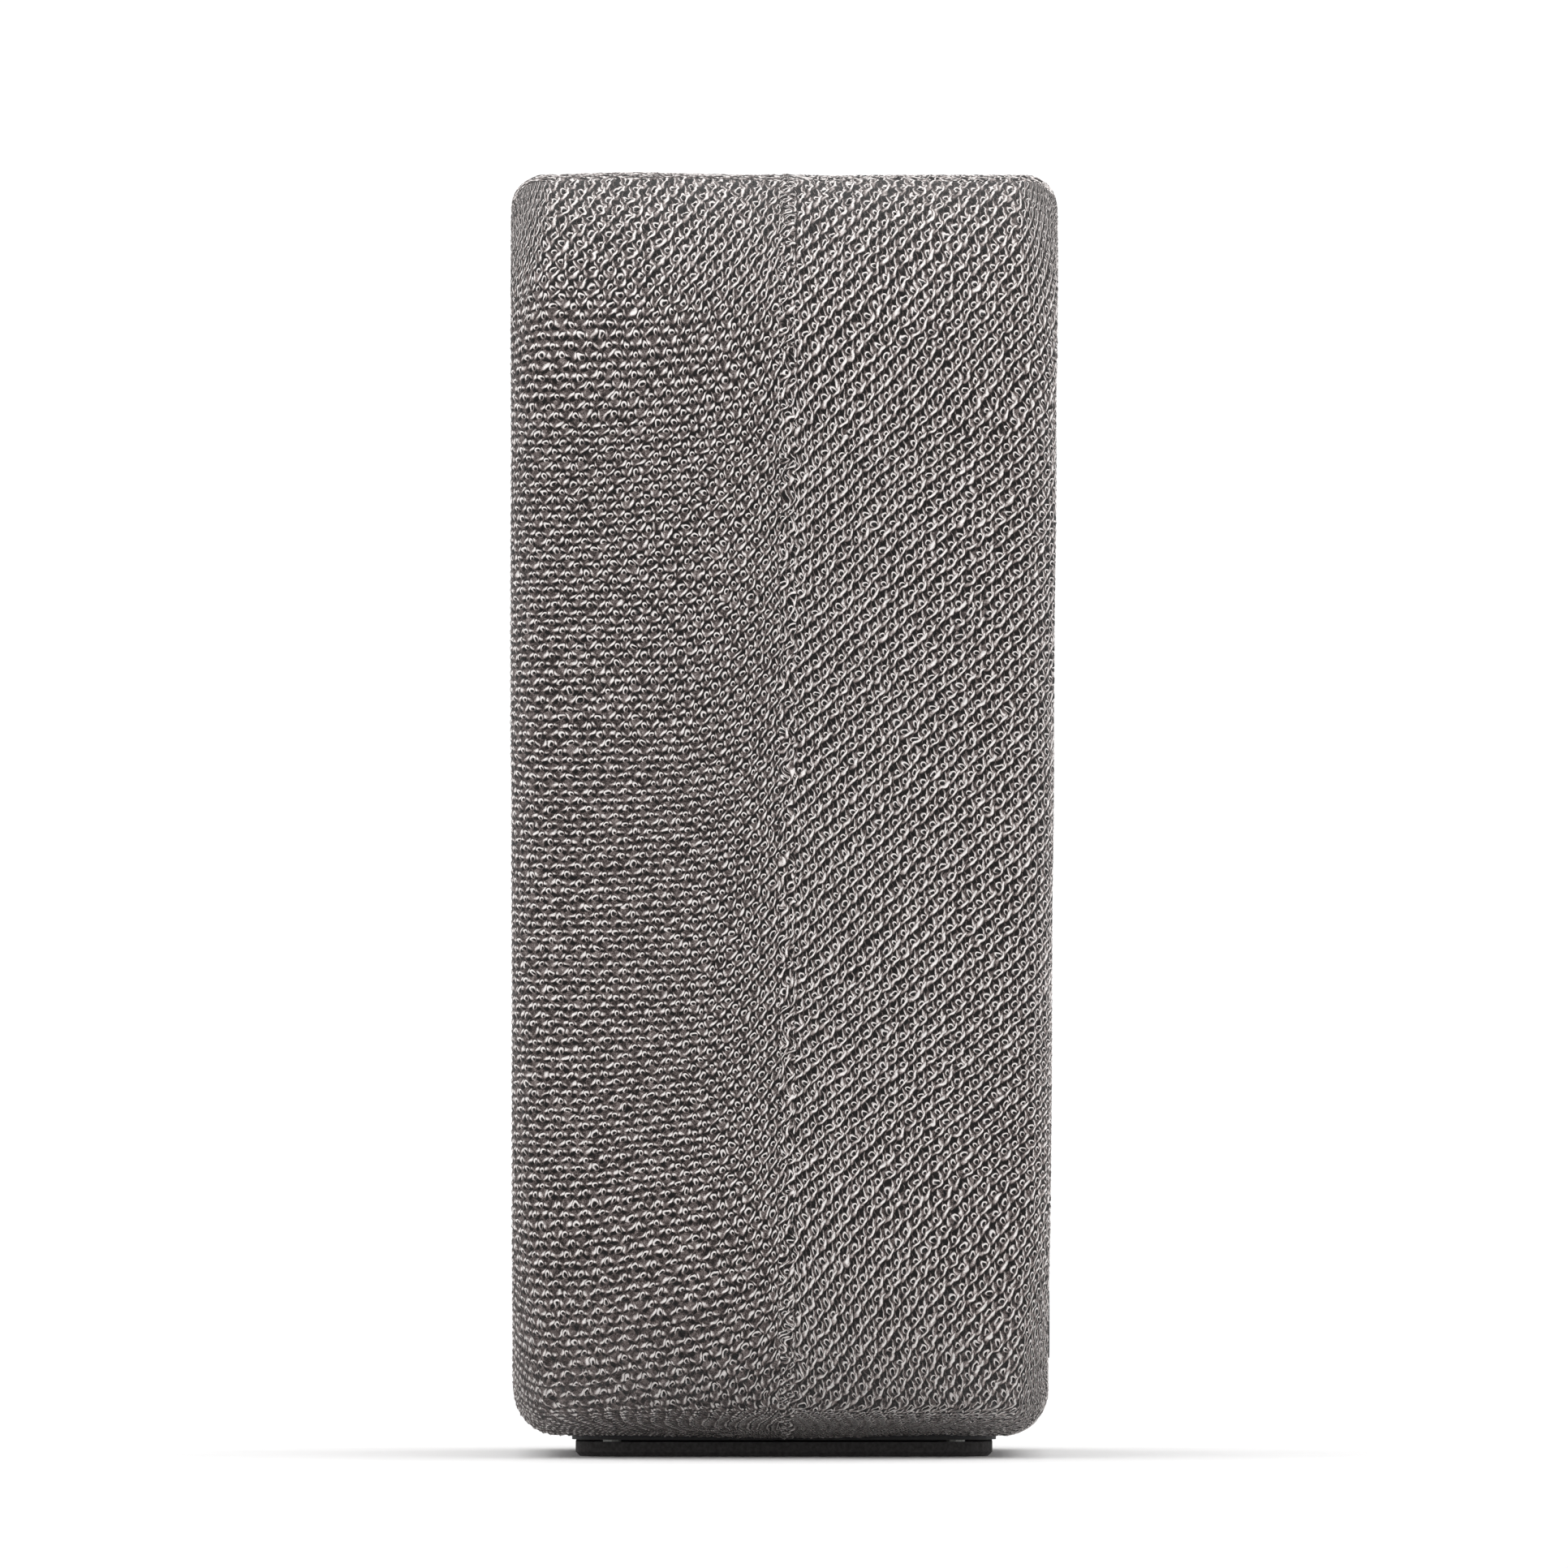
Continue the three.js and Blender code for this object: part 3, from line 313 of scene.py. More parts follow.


def stitch_steps():
    """Steps of name, operation and inputs, from u, v and open to relief: 0 in a hole and 1 on a crest. The
    knit's colour follows it, with painted shade at 0 and painted highlight at 1.
    """
    steps = [
        ("opened", "MINIMUM", "open", OPENED_MOST),
        ("excess", "SUBTRACT", "open", 1.0),
        ("tall", "MAXIMUM", "excess", 0.0),
        ("left_rise", "MULTIPLY_ADD", "opened", *LEFT_RISE),
        ("right_low", "MULTIPLY_ADD", "opened", *RIGHT_RISE),
        ("right_rise", "MULTIPLY_ADD", "tall", TALL_RISE, "right_low"),
        ("more_rise", "SUBTRACT", "right_rise", "left_rise"),
        ("left_end", "MULTIPLY_ADD", "opened", *LEFT_END),
        ("right_far", "MULTIPLY_ADD", "opened", *RIGHT_END),
        ("right_end", "MULTIPLY_ADD", "tall", TALL_END, "right_far"),
        ("more_end", "SUBTRACT", "right_end", "left_end"),
        ("foot", "MULTIPLY_ADD", "opened", *FOOT),
        ("back_at", "MULTIPLY_ADD", "opened", *BACK_LOOP_AT),
        ("back_up", "MULTIPLY_ADD", "opened", *BACK_LOOP_UP),
        ("pit_depth", "MULTIPLY_ADD", "opened", *PIT_DEPTH_AND_SHADE),
        ("base_row", "FLOOR", "v"),
    ]
    for row in (-1, 0, 1):
        r = f"_{row + 1}"
        steps += [
            # where the point is in its loop: s across from the middle, t up from the row
            ("row" + r, "ADD", "base_row", float(row)),
            ("t" + r, "SUBTRACT", "v", "row" + r),
            ("shifted" + r, "MULTIPLY_ADD", "row" + r, 0.5, "u"),
            ("part" + r, "FRACT", "shifted" + r),
            ("s" + r, "SUBTRACT", "part" + r, 0.5),
            ("reach" + r, "ABSOLUTE", "s" + r),
            ("right" + r, "GREATER_THAN", "s" + r, 0.0),
            # the front loop: two arms from its foot, highest near their ends, which dive under
            ("rise" + r, "MULTIPLY_ADD", "right" + r, "more_rise", "left_rise"),
            ("end" + r, "MULTIPLY_ADD", "right" + r, "more_end", "left_end"),
            ("wide" + r, "MULTIPLY", "reach" + r, 2.0),
            ("bow" + r, "POWER", "wide" + r, LOOP_CURVE),
            ("line" + r, "MULTIPLY_ADD", "bow" + r, "rise" + r, "foot"),
            ("off" + r, "SUBTRACT", "t" + r, "line" + r),
            ("slope" + r, "MULTIPLY_ADD", "rise" + r, "rise" + r, 1.0),
            ("steep" + r, "SQRT", "slope" + r),
            ("half" + r, "MULTIPLY", "steep" + r, LOOP_HALF),
            ("side" + r, "DIVIDE", "off" + r, "half" + r),
            ("square" + r, "MULTIPLY", "side" + r, "side" + r),
            ("strand" + r, "SUBTRACT", 1.0, "square" + r),
            ("round" + r, "MAXIMUM", "strand" + r, 0.0),
            ("way" + r, "DIVIDE", "reach" + r, "end" + r),
            ("past" + r, "MULTIPLY_ADD", "way" + r, *DIVE),
            ("ending" + r, "MAXIMUM", "past" + r, 0.0),
            ("dive" + r, "MINIMUM", "ending" + r, 1.0),
            ("along" + r, "MINIMUM", "way" + r, 1.0),
            ("low_lift" + r, "MULTIPLY_ADD", "right" + r, RIGHT_GAIN, ARM_LIFT[1] - LEFT_DROP),
            ("lift" + r, "MULTIPLY_ADD", "along" + r, ARM_LIFT[0], "low_lift" + r),
            ("crest" + r, "MULTIPLY_ADD", "dive" + r, -0.95, "lift" + r),
            ("loop" + r, "MULTIPLY", "round" + r, "crest" + r),
            # painted shade under each arm: a dip in the relief just below the strand, which the colour ramp
            # paints dark, more so towards the arm's end
            ("under" + r, "MULTIPLY_ADD", "half" + r, 1.2, "off" + r),
            ("low" + r, "DIVIDE", "under" + r, "half" + r),
            ("lows" + r, "MULTIPLY", "low" + r, "low" + r),
            ("deep" + r, "MULTIPLY", "along" + r, 0.75),
            ("hollow" + r, "MULTIPLY_ADD", "lows" + r, -0.26, "deep" + r),
            # the small back loop: a ring, higher at its top and left, with a hole in it that sinks the relief
            # and is painted near black as shade
            ("beside" + r, "SUBTRACT", "s" + r, "back_at"),
            ("ring_s" + r, "DIVIDE", "beside" + r, BACK_LOOP_HALF[0]),
            ("above" + r, "SUBTRACT", "t" + r, "back_up"),
            ("ring_t" + r, "DIVIDE", "above" + r, BACK_LOOP_HALF[1]),
            ("ring_ss" + r, "MULTIPLY", "ring_s" + r, "ring_s" + r),
            ("ring_rr" + r, "MULTIPLY_ADD", "ring_t" + r, "ring_t" + r, "ring_ss" + r),
            ("ring_r" + r, "SQRT", "ring_rr" + r),
            ("ring_off" + r, "SUBTRACT", "ring_r" + r, 1.0),
            ("ring_sq" + r, "MULTIPLY", "ring_off" + r, "ring_off" + r),
            ("ring_side" + r, "MULTIPLY_ADD", "ring_s" + r, -0.18, 0.68),
            ("ring_top" + r, "MULTIPLY_ADD", "ring_t" + r, 0.30, "ring_side" + r),
            ("ring" + r, "MULTIPLY_ADD", "ring_sq" + r, -2.6, "ring_top" + r),
            ("sunk" + r, "MULTIPLY_ADD", "ring_r" + r, -1.3, "pit_depth"),
            ("pit" + r, "MAXIMUM", "sunk" + r, 0.0),
            ("front" + r, "MAXIMUM", "loop" + r, "ring" + r),
        ]
    return steps + [
        ("low_loops", "MAXIMUM", "front_0", "front_1"),
        ("loops", "MAXIMUM", "low_loops", "front_2"),
        ("low_shades_under", "MAXIMUM", "hollow_0", "hollow_1"),
        ("hollows", "MAXIMUM", "low_shades_under", "hollow_2"),
        ("low_pit_shades", "MAXIMUM", "pit_0", "pit_1"),
        ("pits", "MAXIMUM", "low_pit_shades", "pit_2"),
        # painted shade: below each arm the cloth behind is cut dark
        ("shade_cut", "SUBTRACT", SHADE_CUT_LEVEL, "hollows"),
        ("back", "MINIMUM", "shade_cut", PILE),
        ("cloth", "MAXIMUM", "loops", "back"),
        # painted shade: the holes in the back loops sink the relief, and its colour, to near black
        ("relief", "SUBTRACT", "cloth", "pits"),
    ]


def stitch_relief(u, v, openness):
    """The front loops' arms on arrays, as rounded strands for the mesh: 0 to 1."""
    opened, tall = np.minimum(openness, OPENED_MOST), np.maximum(openness - 1, 0)
    relief = np.zeros_like(u)
    for row in (-1, 0, 1):
        n = np.floor(v) + row
        s = (u + 0.5 * n) % 1.0 - 0.5
        left = s < 0
        rise = np.where(left, LEFT_RISE[0] * opened + LEFT_RISE[1], RIGHT_RISE[0] * opened + RIGHT_RISE[1])
        end = np.where(left, LEFT_END[0] * opened + LEFT_END[1], RIGHT_END[0] * opened + RIGHT_END[1])
        rise, end = np.where(left, (rise, end), (rise + TALL_RISE * tall, end + TALL_END * tall))
        line = FOOT[0] * opened + FOOT[1] + rise * np.abs(2 * s) ** LOOP_CURVE
        strand = np.exp(-(((v - n - line) / (1.4 * LOOP_HALF * np.sqrt(1 + rise * rise))) ** 2))
        way = np.abs(s) / end
        crest = ARM_LIFT[0] * np.minimum(way, 1) + ARM_LIFT[1]
        relief = np.maximum(relief, strand * crest * (1 - 0.7 * np.clip(DIVE[0] * way + DIVE[1], 0, 1)))
    return relief


# ---- Yarn of the cover and of the seam ----
# Heathered polyester yarn, air textured and knitted, in taupe. Its colour follows the stitch's relief, with
# painted highlights, nearly white, on the loops and painted shade, nearly black, in the holes between them
# and under the arms. Single filaments stand off each strand and blur it.

FILAMENTS = 0.16 * MM  # one tuft of filaments, coarser than the real ones so that it shows
HEATHER = 1.1 * MM  # a darker or lighter length of yarn
FUZZ = 0.66  # how much both change the yarn's level
YARN_WANDER = 1.9 * MM  # how far apart the loops' small shifts are
YARN_SHIFTS = (("u", "X", 0.56), ("v", "Y", 1.00))  # how far they go, in loops across and rows up
# The colour along the relief: painted shade, nearly black, at the low end, the taupe yarn in the middle, and
# painted highlight, nearly white, at the top.
YARN_SHADE_AND_HIGHLIGHT_STOPS = [
    (0.04, "080505"),
    (0.19, "2b2321"),
    (0.33, "615755"),
    (0.45, "8d8380"),
    (0.59, "c2b8b5"),
    (0.79, "fdf8f6"),
]


def knitted(tree):
    """The stitch as a pattern, with each loop a little out of place and its strand fuzzy."""
    stitch = add_node(tree, "ShaderNodeUVMap", uv_map="stitch")
    where = add_node(tree, "ShaderNodeSeparateXYZ", {"Vector": stitch.outputs["UV"]})
    openness = add_node(tree, "ShaderNodeAttribute", attribute_name="openness")
    place = add_node(tree, "ShaderNodeTexCoord")
    wander = add_node(
        tree,
        "ShaderNodeTexNoise",
        {"Vector": place.outputs["Object"], "Scale": 1 / YARN_WANDER, "Detail": 1.5, "Roughness": 0.5},
    )
    drift = add_node(tree, "ShaderNodeSeparateXYZ", {"Vector": wander.outputs["Color"]})
    values = {"open": openness.outputs["Fac"]}
    for name, axis, sway in YARN_SHIFTS:
        shift = add_node(
            tree, "ShaderNodeMath", {0: drift.outputs[axis], 1: sway, 2: -sway / 2}, operation="MULTIPLY_ADD"
        )
        moved = add_node(
            tree, "ShaderNodeMath", {0: where.outputs[axis], 1: shift.outputs[0]}, operation="ADD"
        )
        values[name] = moved.outputs[0]
    for name, operation, *inputs in stitch_steps():
        filled = {i: values[value] if isinstance(value, str) else value for i, value in enumerate(inputs)}
        values[name] = add_node(tree, "ShaderNodeMath", filled, operation=operation).outputs[0]
    fuzz = add_node(
        tree,
        "ShaderNodeTexNoise",
        {"Vector": place.outputs["Object"], "Scale": 1 / FILAMENTS, "Detail": 2.0, "Roughness": 0.6},
    )
    heather = add_node(
        tree,
        "ShaderNodeTexNoise",
        {"Vector": place.outputs["Object"], "Scale": 1 / HEATHER, "Detail": 2.0, "Roughness": 0.6},
    )
    both = add_node(
        tree, "ShaderNodeMath", {0: fuzz.outputs["Fac"], 1: heather.outputs["Fac"]}, operation="ADD"
    )
    level = add_node(
        tree, "ShaderNodeMath", {0: both.outputs[0], 1: FUZZ, 2: -FUZZ}, operation="MULTIPLY_ADD"
    )
    ruffled = add_node(
        tree, "ShaderNodeMath", {0: values["relief"], 1: level.outputs[0]}, operation="ADD"
    )
    return ruffled.outputs[0]


# The knit's colour carries painted shade in its holes and under its arms, and painted highlights on its
# crests.
knit = finish(
    "polyester_knit_painted_shade_and_highlight",
    knitted,
    YARN_SHADE_AND_HIGHLIGHT_STOPS,
    0.30 * MM,
    Roughness=0.85,
    Sheen_Weight=0.15,
    Sheen_Roughness=0.5,
    Specular_IOR_Level=0.25,
)

# ---- Form under the cover ----
# A rounded outline in X and Z with its long edges rounded too, drawn in a little towards the floor.
# Both panels and the seam between them follow it.

cover_low = np.minimum(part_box("fabric_cover_front")[0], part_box("fabric_cover_rear")[0])
cover_high = np.maximum(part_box("fabric_cover_front")[1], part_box("fabric_cover_rear")[1])
HALF_WIDTH = float(cover_high[0])
BOTTOM, TOP = float(cover_low[2]), float(cover_high[2])
MIDDLE = (BOTTOM + TOP) / 2
FRONT_Y, BACK_Y = float(cover_low[1]), float(cover_high[1])
CORNER = 34.0 * MM
PERIMETER = 2 * math.pi * CORNER + 4 * (HALF_WIDTH - CORNER) + 2 * (TOP - BOTTOM - 2 * CORNER)
EDGE = 5 * MM  # the long edges' radius half way up
EDGE_AT_TOP, EDGE_AT_BOTTOM = 4.4 * MM, 6.0 * MM
FRONT_DRAFT, REAR_DRAFT = 0.33 * MM, 1.4 * MM  # how far each face comes in towards the floor
SEAM_Y = float(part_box("seam_ridge")[0][1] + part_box("seam_ridge")[1][1]) / 2


def outline(steps):
    """Points once round the outline from the bottom's middle, evenly spaced: x, z and the outward normal."""
    flat_x = HALF_WIDTH - CORNER
    flat_z = (TOP - BOTTOM) / 2 - CORNER
    quarter = CORNER * math.pi / 2
    runs = [flat_x, quarter, 2 * flat_z, quarter, 2 * flat_x, quarter, 2 * flat_z, quarter, flat_x]
    ends = np.cumsum([0.0] + runs)
    at = (np.arange(steps) + 0.5) * ends[-1] / steps
    run = np.clip(np.searchsorted(ends, at, side="right") - 1, 0, len(runs) - 1)
    along = at - ends[run]
    turned = np.where(run == 8, 4.0, run // 2)
    angle = -math.pi / 2 + math.pi / 2 * (turned + np.where(run % 2 == 1, along / quarter, 0.0))
    centre_x = np.select(
        [run == 0, run <= 3, run == 4, run <= 7],
        [along, flat_x, flat_x - along, -flat_x],
        along - flat_x,
    )
    centre_z = np.select(
        [run <= 1, run == 2, run <= 5, run == 6],
        [-flat_z, along - flat_z, flat_z, flat_z - along],
        -flat_z,
    )
    nx, nz = np.cos(angle), np.sin(angle)
    return centre_x + CORNER * nx, MIDDLE + centre_z + CORNER * nz, nx, nz


def lean(y, z):
    """Y drawn in towards the middle, more so near the floor."""
    draft = np.where(y < 0, FRONT_DRAFT, REAR_DRAFT)
    return y * (1 - draft * (1 - z / (TOP - EDGE)) / BACK_Y)


def soft_step(x, start, end):
    t = np.clip((x - start) / (end - start), 0, 1)
    return t * t * (3 - 2 * t)


def smooth_noise(seed, x, z, size):
    """Seeded, smooth noise from -1 to 1 over a plane, with bumps about size apart."""
    grid = np.random.default_rng(seed).uniform(-1, 1, (64, 64))
    gx, gz = x / size + 31.0, z / size + 31.0
    ix, iz = np.floor(gx).astype(int), np.floor(gz).astype(int)
    fx, fz = soft_step(gx - ix, 0, 1), soft_step(gz - iz, 0, 1)
    ix, iz = ix % 63, iz % 63
    lower = grid[ix, iz] * (1 - fx) + grid[ix + 1, iz] * fx
    upper = grid[ix, iz + 1] * (1 - fx) + grid[ix + 1, iz + 1] * fx
    return lower * (1 - fz) + upper * fz


def bell(x, width):
    return np.exp(-((x / width) ** 2))


def swell(x, y, z, nz):
    """How far the drawn cover stands proud of, or sags from, the plain form."""
    on_top, below = soft_step(nz, 0.9, 1.0), soft_step(-nz, 0.85, 1.0)
    hump = 0.40 * MM * bell(y + 21 * MM, 10 * MM) * on_top
    seam_hump = 0.25 * MM * bell(y - SEAM_Y, 3 * MM) * on_top
    sag = 0.55 * MM * bell(y - SEAM_Y, 16 * MM) * below
    ripple = 0.12 * MM * smooth_noise(11, y + 0.3 * x, z + x, 13 * MM)
    return hump + seam_hump + sag + ripple


# The holes in the cover: a rounded square for the base plate, and in the back a round one for the power
# inlet and an oval one for the switch plate.


def port(node):
    """The middle, half width and half height of a piece set in the back face."""
    lowest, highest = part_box(node)
    middle = (np.array(lowest) + np.array(highest)) / 2
    half = (np.array(highest) - np.array(lowest)) / 2
    return float(middle[0]), float(middle[2]), float(half[0]), float(half[2])


CUT_GAP = 0.3 * MM
BASE_HALF = float(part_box("base_plate")[1][0]) + CUT_GAP
BASE_CORNER = 8 * MM
OTHER_SIDE = 1000  # puts a point that faces another way out of a hole's reach
UNDERSIDE, BACK_SIDE = 6 * MM, 20 * MM  # the hole below is under this height, the others are behind this


def hole_distance(x, y, z, rear):
    """How far a point is outside the nearest hole."""
    over_x = np.maximum(np.abs(x) - (BASE_HALF - BASE_CORNER), 0)
    over_y = np.maximum(np.abs(y) - (BASE_HALF - BASE_CORNER), 0)
    nearest = np.hypot(over_x, over_y) - BASE_CORNER + np.maximum(z - BOTTOM - UNDERSIDE, 0) * OTHER_SIDE
    if rear:
        for node in ("inlet_well", "switch_plate"):
            middle_x, middle_z, half_x, half_z = port(node)
            beyond = np.maximum(np.abs(x - middle_x) - (half_x - half_z), 0)
            away = np.hypot(beyond, z - middle_z) - half_z - CUT_GAP
            nearest = np.minimum(nearest, away + np.maximum(BACK_SIDE - y, 0) * OTHER_SIDE)
    return nearest


def uncut_quads(away):
    """Which quads of a grid that closes on itself are clear of the holes, and the corners of those."""
    rows, columns = away.shape
    row_at, column_at = np.meshgrid(np.arange(rows - 1), np.arange(columns), indexing="ij")
    beside = (column_at + 1) % columns
    corners = [(row_at, column_at), (row_at, beside), (row_at + 1, beside), (row_at + 1, column_at)]
    clear = np.logical_and.reduce([away[r, c] > 0 for r, c in corners])
    return clear, np.stack([(r * columns + c)[clear] for r, c in corners], axis=-1)


# ---- Knitted cover panels ----
# Each panel is knitted flat, drawn over its shell and linked to the other along the side band. Its rows run
# level round the sides and turn at the top corners. It is one stretched sheet with its loops in relief.

GRID = 0.40 * MM
SEAM_HALF = 0.9 * MM  # half the width of the linked ridge
LOOP_HEIGHT = 0.36 * MM
FRONT_OPEN, REAR_OPEN = 0.10, 0.60  # how far each panel's loops are pulled open
TOP_OPEN = (0.5, 0.3)  # and how much more near the top, at the front and at the rear
LOW_SIDE = 75 * MM  # below this height the rows slant
TURN_ANGLE = 78.0  # where on the top corners the rows turn, in degrees


def panel_grid(face_y, side):
    """Rows of points from the face's middle out over the edge to the seam: form, normals, and cloth."""
    columns = 4 * int(PERIMETER / GRID / 4)
    x, z, nx, nz = outline(columns)
    edge = EDGE_AT_BOTTOM + (EDGE_AT_TOP - EDGE_AT_BOTTOM) * (nz + 1) / 2
    inner_x, inner_z = x - edge * nx, z - edge * nz
    reach = HALF_WIDTH - EDGE
    squeeze = 1 - reach / (MIDDLE - BOTTOM - EDGE)
    flat, rings = np.zeros_like(x), []
    face_rings = int(reach / GRID)
    for ring in range(face_rings):
        k = (ring + 0.5) / face_rings
        pz = MIDDLE + (inner_z - MIDDLE) * (k + (1 - k) * squeeze)
        rings.append((inner_x * k, flat + face_y, pz, flat, flat + side, flat, inner_x * k, pz, flat))
    turn_rings = max(6, int(EDGE * math.pi / 2 / GRID))
    for ring in range(turn_rings + 1):
        angle = math.pi / 2 * ring / turn_rings
        out, up = math.sin(angle), math.cos(angle)
        px, pz = inner_x + edge * out * nx, inner_z + edge * out * nz
        py = face_y - side * edge * (1 - up)
        rings.append((px, py, pz, nx * out, flat + side * up, nz * out, inner_x, inner_z, edge * angle))
    end_y = SEAM_Y + side * SEAM_HALF * 0.55
    band_rings = int(abs(face_y - side * EDGE - end_y) / GRID)
    for ring in range(1, band_rings + 1):
        start_y = face_y - side * edge
        py = start_y + (end_y - start_y) * ring / band_rings
        run = edge * math.pi / 2 + np.abs(py - start_y)
        rings.append((x, py, z, nx, flat, nz, inner_x, inner_z, run))
    return [np.array([ring[i] for ring in rings]) for i in range(9)] + [nx, nz]


def knit_panel(name, front):
    side = -1.0 if front else 1.0
    px, py, pz, mx, my, mz, cloth_x, cloth_z, run, nx, nz = panel_grid(FRONT_Y if front else BACK_Y, side)
    from_seam = np.abs(py - SEAM_Y)
    right = np.sign(cloth_x)

    # The rows climb to the seam, and towards the floor along the whole side. At the corners the columns
    # crowd together along the edge, so that they stand upright on the side band.
    low = soft_step(LOW_SIDE - pz, 0, 40 * MM)
    climb = 1.8 * MM * np.exp(-from_seam / (6 * MM)) + 1.3 * MM * np.exp(-from_seam / (14 * MM))
    climb += low * 0.05 * np.maximum(28 * MM - from_seam, 0)
    if not front:
        climb = 0.7 * climb + low * 0.10 * np.maximum(from_seam - 16 * MM, 0)
    steep = np.degrees(np.arctan2(nz, np.abs(nx))) + np.zeros_like(px)
    fan = -np.radians(60) * soft_step(-steep, 62, 88)
    round_edge = soft_step(run, 0, 8 * MM) * (1 - soft_step(-steep, 60, 85))
    side_x = np.abs(cloth_x) + round_edge * (HALF_WIDTH - EDGE - np.abs(cloth_x))
    side_u = right * (side_x + run * np.cos(fan))
    side_v = cloth_z + run * np.sin(fan) - climb
    # Over the top they run straight back.
    top_u = cloth_x
    top_v = cloth_z + run

    tight = 1.6 * MM * np.exp(-from_seam / (5 * MM))
    seam_mess = np.exp(-from_seam / (1.6 * MM))
    sway_u = 0.40 * smooth_noise(3 + front, py + px, pz, 19 * MM)
    sway_u += 0.25 * seam_mess * smooth_noise(61 + front, py, pz + px, 1.9 * MM)
    sway_v = 0.45 * smooth_noise(7 + front, py + px, pz, 16 * MM)
    sway_v += 0.40 * seam_mess * smooth_noise(71 + front, py, pz + px, 1.7 * MM)
    turn_at = TURN_ANGLE + 2.0 * smooth_noise(81 + front, py, px, 3 * MM)
    outward = 1 if front else -1
    maps = []
    for across, up in ((side_u, side_v), (top_u, top_v)):
        u = outward * (across + right * tight) / WALE + sway_u
        maps.append((u, up / COURSE + sway_v))
    over_top = steep > turn_at
    u = np.where(over_top, maps[1][0], maps[0][0])
    v = np.where(over_top, maps[1][1], maps[0][1])

    openness = (FRONT_OPEN if front else REAR_OPEN) + 0.4 * np.exp(-from_seam / (12 * MM))
    openness += 0.15 * smooth_noise(31 + front, py + px, pz, 22 * MM)
    high = soft_step(pz, TOP - 24 * MM, TOP - 7 * MM)
    openness = np.clip(openness, 0, 1) + TOP_OPEN[0 if front else 1] * high

    leaned = lean(py, pz)
    away = hole_distance(px, leaned, pz, not front)
    loops = LOOP_HEIGHT * (stitch_relief(u, v, openness) - 0.5) * (1 - 0.6 * seam_mess)
    out = loops + swell(px, py, pz, mz)
    out = out - 0.5 * MM * bell(from_seam, 1.0 * MM) - 1.1 * MM * bell(np.maximum(away, 0), 0.6 * MM)
    points = np.stack([px + mx * out, leaned + my * out, pz + mz * out], axis=-1).reshape(-1, 3)

    clear, quads = uncut_quads(away)
    turned = over_top[:-1][clear]
    # the face's two innermost half rings are sewn across its middle
    columns = px.shape[1]
    near = np.arange(columns // 2 - 1)
    closing = np.stack([near, columns - 1 - near, columns - 2 - near, near + 1], axis=-1)
    quads = np.concatenate([quads, closing])
    turned = np.concatenate([turned, np.zeros(len(closing), bool)])[:, None]
    if not front:
        quads = quads[:, ::-1]
    loop_u = np.where(turned, maps[1][0].ravel()[quads], maps[0][0].ravel()[quads])
    loop_v = np.where(turned, maps[1][1].ravel()[quads], maps[0][1].ravel()[quads])
    used, quads = np.unique(quads, return_inverse=True)
    piece = mesh_piece(name, points[used], quads.reshape(-1, 4), knit)
    set_stitch(piece, loop_u, loop_v, openness.ravel()[used])
    return piece


def set_stitch(piece, loop_u, loop_v, openness):
    """Writes where each corner lies in the stitch pattern, and how far its loops are pulled open."""
    layer = piece.data.uv_layers.new(name="stitch")
    corners = np.stack([loop_u.ravel(), loop_v.ravel()], axis=-1).astype(np.float32)
    layer.data.foreach_set("uv", corners.ravel())
    attribute = piece.data.attributes.new("openness", "FLOAT", "POINT")
    attribute.data.foreach_set("value", openness.astype(np.float32))


for name, node, shell in (
    ("knit_panel_front", "fabric_cover_front", "front_grille"),
    ("knit_panel_rear", "fabric_cover_rear", "rear_housing"),
):
    cover = knit_panel(name, node == "fabric_cover_front")
    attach(cover, "root")
    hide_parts(node)

# ---- Linked seam ----
# The panels' edge loops are linked to each other with the same yarn. It makes a low, uneven ridge of small
# loops all round the side band, sunk between the two panels.

SEAM_WALE = 2.2 * MM
SEAM_COURSE = 1.1 * MM
SEAM_CROWN = 0.50 * MM


def linked_seam():
    steps = 2 * int(PERIMETER / GRID * 0.8)
    x, z, nx, nz = outline(steps)
    along = (np.arange(steps) + 0.5) * PERIMETER / steps
    part, along = np.meshgrid(np.linspace(-1, 1, 13), along, indexing="ij")
    across = part * SEAM_HALF * 1.35
    py = SEAM_Y + across + 0.20 * MM * smooth_noise(41, along, 0 * along, 4 * MM)
    u = across / SEAM_WALE + 0.35 * smooth_noise(43, along, across, 1.9 * MM)
    v = along / SEAM_COURSE + 0.45 * smooth_noise(47, along, across, 2.1 * MM)
    openness = np.full(u.shape, 0.7)
    crown = SEAM_CROWN * (np.sqrt(1 - 0.85 * part * part) - 1.0)
    out = crown + 0.24 * MM * (stitch_relief(u, v, openness) - 0.4) + swell(x, py, z, nz)
    leaned = lean(py, z + 0 * py)
    points = np.stack([x + nx * out, leaned, z + nz * out], axis=-1).reshape(-1, 3)
    away = hole_distance(x + 0 * py, leaned, z + 0 * py, False)
    _, quads = uncut_quads(away)
    loop_u, loop_v = u.ravel()[quads], v.ravel()[quads]
    used, quads = np.unique(quads, return_inverse=True)
    piece = mesh_piece("linked_seam", points[used], quads.reshape(-1, 4), knit)
    set_stitch(piece, loop_u, loop_v, openness.ravel()[used])
    return piece


seam = linked_seam()
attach(seam, "root")
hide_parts("seam_ridge")

# ---- Mute slider and terminal ----
# Moulded in grey ABS with a satin tool finish, in the cover's own tone.

satin = finish(
    "abs_satin_grey",
    speckle(0.4 * MM),
    [(0.3, "6a625e"), (0.7, "7b736e")],
    0.01 * MM,
    Roughness=0.42,
    IOR=1.53,
)
dress("grey_plastic", satin)

# ---- Driver frames, poles and yoke ----
# Pressed and turned mild steel, zinc plated. The press leaves faint draw lines, the plating a cool grey.

